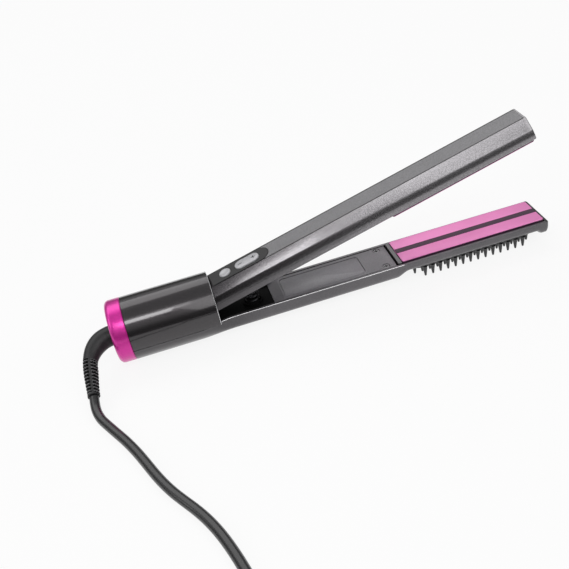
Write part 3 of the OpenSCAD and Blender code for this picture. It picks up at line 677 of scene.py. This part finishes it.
def band_ring(x, half, low, high, radius):
    """A rounded rectangle round the hank at x."""
    corners = (
        (half - radius, high - radius), (radius - half, high - radius),
        (radius - half, low + radius), (half - radius, low + radius),
    )
    ring = []
    for quarter, (y, z) in enumerate(corners):
        for k in range(7):
            a = math.radians(90 * quarter + 15 * k)
            ring.append(Vector((x, y + radius * math.cos(a), z + radius * math.sin(a))) + Vector((*HANK_C, 0)))
    return ring


def add_tie():
    """A band round the waist of the hank, with softened rims."""
    half = WAIST + HANK_BACK * PILE + LAID_D / 2 + 1
    top = TIE_T + LAID_D + PILE + 0.6
    outer, inner = [], []
    for x in (-5.0, -4.6, 4.6, 5.0):
        soft = 0.25 if abs(x) > 4.9 else 0.0
        for rings, grow in ((outer, TIE_T - soft), (inner, soft)):
            low = max(TIE_T - 0.1 - grow, 0.02 + soft)
            rings.append(band_ring(x, half + grow, low, top + grow, TIE_R + grow))
    bm = bmesh.new()
    loft(bm, outer + inner[::-1] + outer[:1], caps=False)
    return piece(bm, "hank_band", "handle", BLACK_MATTE, "hank_tie")


cord, cord_path, cord_length = add_cord()
elbow = add_elbow()
plug, pins = add_plug()
band = add_tie()


# Handle and lower arm

ARM_HALF = 14.4
ARM_DEPTH = 11.3
ARM_LEAN = 0.4  # the arm gets this much shallower up to the step
JAW_DEPTH = 7.3
WALL = 2.0
TAPER_X0 = MOUTH_X - 13  # round behind this, flat-sided from TAPER_X1 on
TAPER_X1 = MOUTH_X + 8
COMB_X0 = 45.4
COMB_X1 = 127.0
STEP_L = 8
STEP_X = COMB_X0 - STEP_L - 1  # the underside steps up from here, to make room for the comb
BUMPER_X = COMB_X1 + 1
BUMPER_L = 3
BUMPER_DEEP = 2.6
JAW_END = 132.9
LIP_OUT = 0.55  # rounding of the rim on the outside and the inside
LIP_IN = 0.35
LIP_LIGHT = 0.5  # height of its band of painted highlight


def arm_ray(deg, x, depth, inset):
    """Radius of the arm's section from the middle of its rim, at deg below the level."""
    a = math.radians(deg)
    up = RIM_DROP * math.sin(a)
    r = HANDLE_R - inset
    circle = -up + math.sqrt(r * r - RIM_DROP ** 2 + up * up)
    w, h = ARM_HALF - inset, depth - inset
    box = (abs(math.cos(a) / w) ** 4 + abs(math.sin(a) / h) ** 4) ** -0.25
    k = ease((x - TAPER_X0) / (TAPER_X1 - TAPER_X0))
    return (1 - k) * circle + k * box


def arm_profile(x, depth, inset, steps=48):
    """The arm's section from rim to rim, round below."""
    points = []
    for i in range(steps + 1):
        deg = 180 * i / steps
        a, r = math.radians(deg), arm_ray(deg, x, depth, inset)
        points.append(Vector((x, r * math.cos(a), RIM_Z - r * math.sin(a))))
    return points


def lip(x, y_out, y_in, top, flat=False):
    """Rounded rim from the outer wall over to the inner one."""
    s = 1 if y_out > 0 else -1
    points = []
    for k in range(5):
        a = math.radians(22.5 * k)
        y = y_out - s * LIP_OUT * (1 - math.cos(a))
        points.append(Vector((x, y, top - LIP_OUT * (1 - math.sin(a)))))
    for k in range(4):
        a = math.radians(30 * k)
        drop = 0.0 if flat else LIP_IN * (1 - math.cos(a))
        points.append(Vector((x, y_in + s * LIP_IN * (1 - math.sin(a)), top - drop)))
    return points


def depth_at(x):
    if x < STEP_X:
        return ARM_DEPTH - ARM_LEAN * max(0.0, (x - TAPER_X1) / (STEP_X - TAPER_X1))
    if x < STEP_X + STEP_L:
        deep = ARM_DEPTH - ARM_LEAN
        return deep - (deep - JAW_DEPTH) * ease((x - STEP_X) / STEP_L)
    if x < BUMPER_X:
        return JAW_DEPTH
    return JAW_DEPTH + BUMPER_DEEP * ease((x - BUMPER_X) / BUMPER_L)


def add_lower_arm():
    """One skin round the outside, over the rim and back along the hollow inside, closed at the jaw's end."""
    stops = [COLLAR_X + 0.02, COLLAR_X + 0.3, -110, -95, TAPER_X0]
    stops += [TAPER_X0 + (TAPER_X1 - TAPER_X0) * i / 14 for i in range(1, 15)]
    stops += [-50, -30, -10, 10, 28, STEP_X] + [STEP_X + i for i in range(1, STEP_L + 1)]
    stops += [60, 80, 100, 120, BUMPER_X, BUMPER_X + 1, BUMPER_X + 2, BUMPER_X + 3, JAW_END - 0.02]
    rings = []
    for x in stops:
        deep = depth_at(x)
        outer = arm_profile(x, deep, 0.3 if x < COLLAR_X + 0.1 else 0.0)
        inner = arm_profile(x, min(deep, JAW_DEPTH + 0.2) if x > COMB_X0 - 2 else deep, WALL)
        far = lip(x, outer[0].y, inner[0].y, RIM_Z)
        near = lip(x, outer[-1].y, inner[-1].y, RIM_Z)
        rings.append(far[::-1] + outer[1:-1] + near + inner[1:-1][::-1])
    # The rounded nose, as x, depth, inset and drop of the rim
    nose = [
        (JAW_END, 9.9, 0.0, 0.0), (133.7, 9.9, 0.0, 0.0), (134.2, 9.7, 0.25, 0.05),
        (134.6, 9.3, 0.6, 0.2), (134.85, 8.9, 1.1, 0.45), (TIP_X, 8.3, 1.7, 0.8),
    ]
    for x, deep, inset, low in nose:
        outer = arm_profile(x, deep, inset)
        top = RIM_Z - low
        far = lip(x, outer[0].y, outer[0].y - WALL, top, flat=True)
        near = lip(x, outer[-1].y, outer[-1].y + WALL, top, flat=True)
        inner = [Vector((x, q.y * 0.8, top)) for q in outer[1:-1]][::-1]
        rings.append(far[::-1] + outer[1:-1] + near + inner)
    bm = bmesh.new()
    loft(bm, rings)
    obj = piece(bm, "lower_arm_casing", "handle", ARM_GREY, "lower_arm_shell", sharp=0.5)
    second_finish(obj, BLACK_MATTE, lambda c, n: JAW_END < c.x < 134.7 and n.z > 0.8)
    # Painted shade on the inner walls and floor of the hollow below the rim
    second_finish(
        obj, PAINTED_SHADE_BLACK,
        lambda c, n: c.x < JAW_END and c.z < RIM_Z - LIP_IN - SAME and (c.y * n.y < 0 or n.z > 0.6),
    )
    # Painted highlight along the outer rim from the handle's mouth to the plate
    second_finish(
        obj, RIM_HIGHLIGHT_PAINT,
        lambda c, n: MOUTH_X < c.x < PLATE_X0 and c.z > RIM_Z - LIP_LIGHT
        and c.y * n.y > 0 and 0.2 < n.z < 0.96,
    )


def add_handle():
    """Upper half of the handle's sleeve, a turned wall cut level with the arm's rim."""
    bm = bmesh.new()
    a, b = COLLAR_X + 0.02, MOUTH_X
    wall = [
        (a, 16.9), (a, 18.7), (a + 0.3, HANDLE_R), (-100, HANDLE_R), (b - 0.6, HANDLE_R), (b - 0.37, 18.95),
        (b - 0.18, 18.82), (b - 0.05, 18.63), (b, 18.4), (b, 17.2), (b - 0.1, 16.95), (b - 0.35, 16.85),
        (a, 16.85),
    ]
    turned(bm, wall, (0, 0, AXIS_Z), steps=96)
    bmesh.ops.bisect_plane(
        bm, geom=bm.verts[:] + bm.edges[:] + bm.faces[:], plane_co=(0, 0, RIM_Z + 0.06), plane_no=(0, 0, 1),
        clear_inner=True,
    )
    bmesh.ops.holes_fill(bm, edges=[e for e in bm.edges if e.is_boundary], sides=0)
    obj = piece(bm, "upper_handle_casing", "handle", SHELL, "upper_handle_shell", sharp=0.5)
    # Painted highlight on the rounded edge of the sleeve's mouth
    second_finish(obj, RIM_HIGHLIGHT_PAINT, lambda c, n: c.x > MOUTH_X - 0.3 and 0.3 < n.x < 0.95)


def add_collar():
    """Turned ring with a rounded shoulder behind and a spigot that reaches into the handle."""
    bm = bmesh.new()
    x0, x1 = REAR_X, COLLAR_X
    bore, spigot, shoulder = 14.85, 16.65, 3
    profile = [(x0 + 0.6, bore), (x0 + 0.1, 15.1), (x0, 15.5)]
    for k in range(9):
        a = math.radians(90 * k / 8)
        profile.append((x0 + shoulder * (1 - math.cos(a)), HANDLE_R - shoulder * (1 - math.sin(a))))
    profile += [
        (x1 - 0.3, HANDLE_R), (x1 - 0.02, 18.7), (x1 - 0.02, spigot), (x1 + 5, spigot), (x1 + 5, bore),
        (x0 + 0.6, bore),
    ]
    turned(bm, profile, (0, 0, AXIS_Z), steps=96)
    piece(bm, "magenta_collar", "handle", COLLAR, "end_collar", sharp=0.5)


add_lower_arm()
add_handle()
add_collar()


# Inside of the lower arm

COVER_TOP = RIM_Z - 0.3
COVER_HALF = 12.1
SCREW_X = 31.6
SCREW_Y = 9.2
SCREW_SEAT = COVER_TOP - 1.1


def carve(target, tool):
    """Cuts a shape drawn in millimetres out of target."""
    bmesh.ops.recalc_face_normals(tool, faces=tool.faces)
    tool = shrunk(tool, "tool")
    mod = target.modifiers.new("cut", "BOOLEAN")
    mod.operation = "DIFFERENCE"
    mod.solver = "EXACT"
    mod.use_self = True  # a tool's parts may overlap
    mod.object = tool
    graph = bpy.context.evaluated_depsgraph_get()
    carved = bpy.data.meshes.new_from_object(target.evaluated_get(graph))
    target.modifiers.clear()
    target.data = carved
    bpy.data.objects.remove(tool)
    bm = bmesh.new()
    bm.from_mesh(carved)
    smooth(bm, 0.5)
    bm.to_mesh(carved)
    bm.free()


def add_inner_cover():
    """Cover with a slope down to the tray, a pocket for the inset plate and two for the screws."""
    x0, x1 = -38.8, 37.4
    section = [
        (x0, 10.1), (x0, 12.1), (x0 + 6, COVER_TOP), (x1, COVER_TOP), (x1, COVER_TOP - 2),
        (x0 + 6, COVER_TOP - 2),
    ]
    bm = bmesh.new()
    draw_along(bm, [(x, -COVER_HALF, z) for x, z in section], (0, 2 * COVER_HALF, 0))
    bmesh.ops.recalc_face_normals(bm, faces=bm.faces)
    bevel(bm, edges_where(
        bm, lambda a, b: min(a.z, b.z) > 12.0 and max(a.z, b.z) > COVER_TOP - SAME and (a - b).length > 5
    ), 0.3)
    cover = piece(bm, "inner_cover_moulding", "handle", COVER_GREY, "inner_cover")
    pockets = bmesh.new()
    slab(pockets, (-31.8, -9.5, COVER_TOP - 1.2), (18.8, 9.5, COVER_TOP + 1), 2.5)
    for y in (-SCREW_Y, SCREW_Y):
        turned(pockets, [(-1.1, 0), (-1.1, 2.3), (1, 2.3), (1, 0)], (SCREW_X, y, COVER_TOP), "Z", 32)
    carve(cover, pockets)


def add_inset():
    """Plate that lies in the cover's long pocket."""
    bm = bmesh.new()
    slab(bm, (-31.6, -9.3, COVER_TOP - 1.2), (18.6, 9.3, COVER_TOP - 0.25), 2.3, 0.25)
    piece(bm, "inset_plate", "handle", INSET_GREY, "inset_panel")


def add_cover_screws():
    """Two pan heads on their shanks, with a cross recess in each."""
    screw = [(-5, 0), (-5, 1.05), (0, 1.1), (0, 2.1), (0.5, 2.1), (0.85, 1.75), (0.85, 0)]
    bm, crosses = bmesh.new(), bmesh.new()
    for y in (-SCREW_Y, SCREW_Y):
        turned(bm, screw, (SCREW_X, y, SCREW_SEAT), "Z", 24)
        for wide, deep in ((1.25, 0.28), (0.28, 1.25)):
            low = (SCREW_X - wide, y - deep, SCREW_SEAT + 0.35)
            slab(crosses, low, (SCREW_X + wide, y + deep, SCREW_SEAT + 1.5))
    screws = piece(bm, "cover_screw_pair", "handle", GREY_SCREW, "cover_screws")
    carve(screws, crosses)
    # Painted shade in the cross recesses
    second_finish(
        screws, PAINTED_SHADE_BLACK,
        lambda c, n: c.z < COVER_TOP - 0.3 and math.hypot(c.x - SCREW_X, abs(c.y) - SCREW_Y) < 1.6,
    )


add_inner_cover()
add_inset()
add_cover_screws()


def add_spring():
    """Coil between the tray and the open arm's inner cover."""
    turns, steps, radius, wire = 5, 32, 4.0, 0.48
    slope = math.radians(OPEN_DEG)
    arm = HINGE[2] + (SPRING_X - HINGE[0]) * math.tan(slope) - (HINGE[2] - EDGE_Z - 0.4) / math.cos(slope)
    rise = arm - 1.4 - TRAY_Z - 1.0
    path = []
    for i in range(turns * steps + 1):
        a = 2 * math.pi * i / steps
        z = TRAY_Z + 0.55 + rise * i / (turns * steps)
        path.append(Vector((SPRING_X + radius * math.cos(a), radius * math.sin(a), z)))
    bm = bmesh.new()
    tube(bm, path, wire, 10)
    obj = piece(bm, "opening_coil", "handle", SPRING_BLACK, "opening_spring")
    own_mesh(obj)


def add_pads():
    """Two soft pads that carry the floating plate."""
    bm = bmesh.new()
    for x in (56.0, 105.6):
        slab(bm, (x, -4, 10.4), (x + 12, 4, 11.44), 1.0, 0.2, 4)
    obj = piece(bm, "silicone_pads", "handle", SILICONE, "plate_pads")
    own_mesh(obj)


add_spring()
add_pads()


# Plates and comb

PLATE_HALF = 12
PLATE_T = 2.2
GROOVE_HALF = 2.25
RAIL_Y = 8.6


def add_plate(name, z0, node, body, up):
    """Two coated strips on one plate with a shallow groove between them, and rails behind.

    The lower plate faces up, and the upper one is drawn closed, facing down, and lifted with its arm.
    """
    z1 = z0 + PLATE_T
    bm = bmesh.new()
    flip = (lambda z: z) if up else (lambda z: z0 + z1 - z)
    half = [(PLATE_HALF, z0), (PLATE_HALF, z1), (GROOVE_HALF, z1), (GROOVE_HALF, z1 - 0.6)]
    outline = [(-y, z) for y, z in half] + half[::-1]
    draw_along(bm, [(PLATE_X0, y, flip(z)) for y, z in outline], (PLATE_X1 - PLATE_X0, 0, 0))
    bevel(bm, edges_where(
        bm, lambda a, b: abs(abs(a.y) - PLATE_HALF) < SAME and abs(a.x - b.x) < SAME and abs(a.y - b.y) < SAME
    ), 1.2, 4)
    rims = [
        e for e in bm.edges if len(e.link_faces) == 2 and e.calc_face_angle(0) > SHARP_TURN
        and all(abs(v.co.z - flip(z1)) < SAME for v in e.verts)
    ]
    bevel(bm, rims, 0.45, 3)
    low, high = sorted((flip(z0 - 2), flip(z0 + 0.2)))
    for y in (-RAIL_Y, RAIL_Y):
        slab(bm, (45, y - 0.7, low), (128.6, y + 0.7, high))
    obj = piece(bm, name, body, PLATE_PINK, node, lift=not up, sharp=0.7)
    face = Vector((0, 0, 1)) if up else OPEN.to_3x3() @ Vector((0, 0, 1))
    # Faces across the plate are dark violet: the stripe's colour in the groove, painted shade on the plate's
    # sides
    second_finish(obj, STRIPE_AND_SIDE_SHADE, lambda c, n: abs(n.dot(face)) < 0.2)


add_plate("lower_pink_plate", MEET_Z - 0.1 - PLATE_T, "lower_plate", "floating_plate", True)
add_plate("upper_pink_plate", MEET_Z + 0.2, "upper_plate", "upper_arm", False)

TEETH = {0: 16, 1: 16, 2: 14}  # in the middle row, the ones beside it and the outer ones
TOOTH_PITCH = 4.93
TOOTH_SHIFT = 0.9
ROW_PITCH = 5.2


def add_comb():
    """A slab with five rows of round teeth that end at the table."""
    bm = bmesh.new()
    top = 9.6
    slab(bm, (COMB_X0, -11.9, top - 2.2), (COMB_X1, 11.9, top), 8.0, 0.35, 10)
    profile = [
        (0.0, 0.0), (0.05, 0.32), (0.3, 0.58), (0.8, 0.7), (4.0, 1.15), (6.6, 1.55), (7.2, 1.8), (7.42, 2.2),
    ]
    one = bmesh.new()
    turned(one, profile, (0, 0, 0), "Z", 10)
    tooth = bpy.data.meshes.new("tooth")
    one.to_mesh(tooth)
    one.free()
    middle = (COMB_X0 + COMB_X1) / 2 + TOOTH_SHIFT
    for row in (0, -1, 1, -2, 2):
        count = TEETH[abs(row)]
        for i in range(count):
            before = set(bm.verts)
            bm.from_mesh(tooth)
            place = (middle + (i - (count - 1) / 2) * TOOTH_PITCH, row * ROW_PITCH, 0)
            bmesh.ops.translate(bm, vec=place, verts=[v for v in bm.verts if v not in before])
    bpy.data.meshes.remove(tooth)
    piece(bm, "comb_insert", "handle", COMB_BLACK, "comb", sharp=0.8)


add_comb()


# Upper arm

ARM_TOP_HALF = 13.8  # half the casing's width at its lower edge
FLAT_HALF = 7.1  # and at its flat top
CREASE_X0 = MOUTH_X + 14
CREASE_X1 = 133.5
RECESS_HALF = 6.97
WINDOW = (-67.5, -36.5)  # stretch of the top that is open below the control panel
WINDOW_HALF = 5.2
HEM = 0.4  # how far the casing reaches below EDGE_Z
EAR_IN = 9.73
EAR_OUT = 12.13
EAR_R = 4.2


def crease(x):
    """Half width and height of the crease between the casing's side and its bevel."""
    k = min(1.0, max(0.0, (x - CREASE_X0) / (CREASE_X1 - CREASE_X0)))
    return 11.6 + k * 0.4, EDGE_Z + 7.8 - k * 2.0


def casing_ring(x, deep, shut):
    """The casing's section at x, its top sunk by deep. shut closes it below, and past 1 rounds its tip."""
    cy, cz = crease(x)
    tip = 0.0 if shut <= 1.0 else (shut - 1.0) * 1.6
    low = EDGE_Z - HEM + tip
    side = [
        (cy + (ARM_TOP_HALF - cy) * (1 - (k / 8) ** 1.8) - tip, low + (cz - low) * k / 8) for k in range(9)
    ]
    sunk = FLAT_Z - max(deep, tip)
    outer = [(ARM_TOP_HALF - 0.35 - tip, low), (side[0][0], low + 0.35)] + side[1:]
    outer += [
        (FLAT_HALF - tip * 0.5, FLAT_Z - tip), (RECESS_HALF, FLAT_Z - tip), (RECESS_HALF, sunk),
        (WINDOW_HALF, sunk),
    ]
    inner = [
        (ARM_TOP_HALF - 0.9, low), (cy - 1.35, cz - 0.45), (6.25, FLAT_Z - 1.5), (WINDOW_HALF, FLAT_Z - 1.5),
    ]
    if shut:
        inner = [(ARM_TOP_HALF - 1.2 - tip, low), (12.0 - tip, low), (6.25, low), (WINDOW_HALF, low)]
    points = outer + [(-y, z) for y, z in outer[::-1]] + [(-y, z) for y, z in inner] + inner[::-1]
    return [Vector((x, y, z)) for y, z in points]


def add_ears(bm):
    """A ring on either side that turns on the hinge pin, and the cheek that joins it to the casing."""
    for s in (-1, 1):
        low, high = sorted((s * EAR_IN, s * EAR_OUT))
        ring = [(low, 2.05), (low, EAR_R), (high, EAR_R), (high, 2.05), (low, 2.05)]
        turned(bm, ring, (HINGE[0], 0, HINGE[2]), "Y", 40)
        low, high = sorted((s * EAR_IN, s * (EAR_OUT - 0.6)))
        slab(bm, (HINGE[0] + 4.0, low, HINGE[2] - EAR_R), (-74.3, high, HINGE[2] + 2))


def add_upper_arm():
    """Six-sided casing, open below, with a shallow seat for the panels on its flat top."""
    stops = [(-79.3, 0.0, 0.0), (-79.0, 0.0, 0.0), (-69.02, 0.0, 0.0)]
    stops += [(x, 0.7, 0.0) for x in (-69.0, WINDOW[0], CREASE_X0, WINDOW[1], 0.0, 40.0, 90.0, 131.5)]
    stops += [(131.52, 0.7, 1.0), (132.3, 0.7, 1.0), (132.32, 0.0, 1.0), (133.0, 0.0, 1.0), (133.3, 0.0, 1.1)]
    stops += [(CREASE_X1, 0.0, 1.3)]
    bm = bmesh.new()
    loft(bm, [casing_ring(*stop) for stop in stops])
    bmesh.ops.recalc_face_normals(bm, faces=bm.faces)
    window = []
    for f in bm.faces:
        middle = f.calc_center_median()
        if WINDOW[0] < middle.x < WINDOW[1] and abs(middle.y) < WINDOW_HALF - 0.2 and abs(f.normal.z) > 0.9:
            window.append(f)
    bmesh.ops.delete(bm, geom=window, context="FACES")
    bmesh.ops.bridge_loops(bm, edges=[e for e in bm.edges if e.is_boundary])
    bmesh.ops.recalc_face_normals(bm, faces=bm.faces)

    def on_crease(p):
        y, z = crease(p.x)
        return abs(abs(p.y) - y) < 2 * SAME and abs(p.z - z) < 2 * SAME

    bevel(bm, edges_where(bm, lambda a, b: abs(a.x - b.x) >= SAME and on_crease(a) and on_crease(b)), 0.4, 3)
    add_ears(bm)
    # Known fault: the normals that piece recalculates here come out inwards in most runs
    piece(bm, "upper_arm_casing", "upper_arm", TOP_SHELL, "upper_arm_shell", lift=True, sharp=0.25)


KEY_X = -60.0
ROCKER = (-53.3, -37.7)
ROCKER_TOP = 31.6
SIGN_LOW = ROCKER_TOP - 0.2
SIGN_HIGH = ROCKER_TOP + 0.08
SIGN_L = 1.2  # half the length of a sign's bar
SIGN_W = 0.25


def add_controls():
    """Power button, and a rocker that carries a plus and a minus sign."""
    bm = bmesh.new()
    button = [
        (28.9, 0), (28.9, 4.3), (29.8, 4.3), (29.8, 3.5), (31.3, 3.5), (31.6, 3.2), (31.7, 2.8), (31.45, 2.2),
        (31.3, 0),
    ]
    turned(bm, button, (KEY_X, 0, 0), "Z", 40)
    piece(bm, "power_key", "power_button", BUTTON_SILVER, "power_button", lift=True)
    bm = bmesh.new()
    slab(bm, (ROCKER[0], -3.8, 28.9), (ROCKER[1], 3.8, ROCKER_TOP), 3.79, 0.4, 12)
    turned(bm, [(-5.0, 0), (-5.0, 0.8), (5.0, 0.8), (5.0, 0)], (sum(ROCKER) / 2, 0, 29.2), "Y", 20)
    piece(bm, "rocker_key", "temperature_rocker", BUTTON_SILVER, "temperature_rocker", lift=True)
    bm = bmesh.new()
    # The minus sign, then the two bars of the plus
    for x, long, wide in ((-49.8, SIGN_L, SIGN_W), (-41.2, SIGN_L, SIGN_W), (-41.2, SIGN_W, SIGN_L)):
        slab(bm, (x - long, -wide, SIGN_LOW), (x + long, wide, SIGN_HIGH), soften=0.05)
    piece(bm, "rocker_signs", "temperature_rocker", BLACK_MATTE, None, lift=True)


add_upper_arm()
add_controls()


# CAD nodes that keep their shape and get their finish

# The hinge tray takes the near-black painted shade
KEPT = {
    "end_cap": BLACK_MATTE, "hinge_bracket": STEEL, "bracket_screws": DARK_SCREW, "hinge_pin": STEEL,
    "hinge_tray": PAINTED_SHADE_BLACK, "lower_plate_carrier": ARM_GREY, "circuit_board": BOARD_GREEN,
    "board_screws": STEEL, "lower_stripe": STRIPE_AND_SIDE_SHADE, "lower_heater": CERAMIC, "top_panel": PANEL_GREY,
    "control_panel": BLACK_GLOSS, "button_board": BOARD_GREEN, "upper_inner_cover": BLACK_MATTE,
    "upper_cover_screws": DARK_SCREW, "upper_plate_carrier": BLACK_MATTE, "upper_stripe": STRIPE_AND_SIDE_SHADE,
    "upper_heater": CERAMIC, "swivel_barrel": BLACK_MATTE,
}
for node, finish in KEPT.items():
    obj = NODES[node]
    obj.data.materials.clear()
    obj.data.materials.append(finish)


# Floor, backdrop and light

FLOOR_LIFT = 0.88  # share of plain white in the floor, as the camera and mirrors see it
# What mirrors see: the ray's upward part and the grey that it meets there
ROOM = [(0.02, 0.05), (0.30, 0.13), (0.52, 0.55), (0.62, 0.55), (0.80, 0.42), (0.9, 0.5)]


def seen_rays(tree):
    """1 for rays from the camera and for rays mirrored by the object."""
    path = tree.nodes.new("ShaderNodeLightPath")
    either = tree.nodes.new("ShaderNodeMath")
    either.operation = "MAXIMUM"
    tree.links.new(path.outputs["Is Camera Ray"], either.inputs[0])
    tree.links.new(path.outputs["Is Glossy Ray"], either.inputs[1])
    return either.outputs["Value"]


def add_stage():
    """A pale floor that takes soft shadows and is close to white otherwise."""
    mesh = bpy.data.meshes.new("floor")
    bm = bmesh.new()
    bmesh.ops.create_grid(bm, x_segments=1, y_segments=1, size=6.0)
    bm.to_mesh(mesh)
    bm.free()
    floor = bpy.data.objects.new("floor", mesh)
    bpy.context.scene.collection.objects.link(floor)
    floor.location = (0, 0, -0.0002)
    mat = bpy.data.materials.new("pale_floor")
    mat.use_nodes = True
    tree = mat.node_tree
    shader = tree.nodes["Principled BSDF"]
    shader.inputs["Base Color"].default_value = (0.93, 0.93, 0.93, 1)
    shader.inputs["Roughness"].default_value = 0.9
    shader.inputs["Specular IOR Level"].default_value = 0.0
    lift = tree.nodes.new("ShaderNodeMath")
    lift.operation = "MULTIPLY"
    lift.inputs[1].default_value = FLOOR_LIFT
    tree.links.new(seen_rays(tree), lift.inputs[0])
    glow = tree.nodes.new("ShaderNodeEmission")
    glow.inputs["Color"].default_value = (1, 1, 1, 1)
    mix = tree.nodes.new("ShaderNodeMixShader")
    tree.links.new(lift.outputs["Value"], mix.inputs["Fac"])
    tree.links.new(shader.outputs["BSDF"], mix.inputs[1])
    tree.links.new(glow.outputs["Emission"], mix.inputs[2])
    tree.links.new(mix.outputs["Shader"], tree.nodes["Material Output"].inputs["Surface"])
    mesh.materials.append(mat)


def add_world():
    """Even light from all round and white behind. Mirrors see a room, dark low down and grey overhead."""
    world = bpy.data.worlds.new("studio")
    bpy.context.scene.world = world
    world.use_nodes = True
    tree = world.node_tree
    back = tree.nodes["Background"]
    back.inputs["Color"].default_value = (1, 1, 1, 1)
    back.inputs["Strength"].default_value = 0.30
    room = tree.nodes.new("ShaderNodeBackground")
    coords = tree.nodes.new("ShaderNodeTexCoord")
    height = part_of(tree, coords.outputs["Generated"], "Z")
    tree.links.new(ramp(tree, height, [(z, (grey,) * 3) for z, grey in ROOM]), room.inputs["Color"])
    white = tree.nodes.new("ShaderNodeBackground")
    white.inputs["Color"].default_value = (1, 1, 1, 1)
    white.inputs["Strength"].default_value = 1.0
    path = tree.nodes.new("ShaderNodeLightPath")
    glossy = tree.nodes.new("ShaderNodeMixShader")
    tree.links.new(path.outputs["Is Glossy Ray"], glossy.inputs["Fac"])
    tree.links.new(back.outputs["Background"], glossy.inputs[1])
    tree.links.new(room.outputs["Background"], glossy.inputs[2])
    mix = tree.nodes.new("ShaderNodeMixShader")
    tree.links.new(path.outputs["Is Camera Ray"], mix.inputs["Fac"])
    tree.links.new(glossy.outputs["Shader"], mix.inputs[1])
    tree.links.new(white.outputs["Background"], mix.inputs[2])
    tree.links.new(mix.outputs["Shader"], tree.nodes["World Output"].inputs["Surface"])


def add_light(name, place, target, size, power):
    """A rectangular lamp that points at target."""
    lamp = bpy.data.lights.new(name, "AREA")
    lamp.shape = "RECTANGLE"
    lamp.size, lamp.size_y = size
    lamp.energy = power
    obj = bpy.data.objects.new(name, lamp)
    bpy.context.scene.collection.objects.link(obj)
    obj.location = place
    obj.rotation_euler = (Vector(target) - Vector(place)).to_track_quat("-Z", "Y").to_euler()


add_stage()
add_world()
add_light("key", (1.0, -1.5, 1.6), (0.4, 0, 0), (2.0, 1.6), 17)
add_light("bevel_fill", (-0.09, -1.0, 1.6), (0, 0, 0.03), (0.38, 0.36), 0.7)  # for the upper arm's bevel
add_light("top", (-0.3, 1.1, 1.6), (0, 0, 0), (2.6, 1.1), 14)
add_light("handle_strip", (-0.155, -0.31, 0.43), (-0.11, 0, 0.03), (0.11, 0.10), 0.24)
add_light("left", (-1.6, -0.1, 0.9), (0, 0, 0), (0.8, 1.0), 5)
bpy.context.scene.view_settings.view_transform = "Standard"
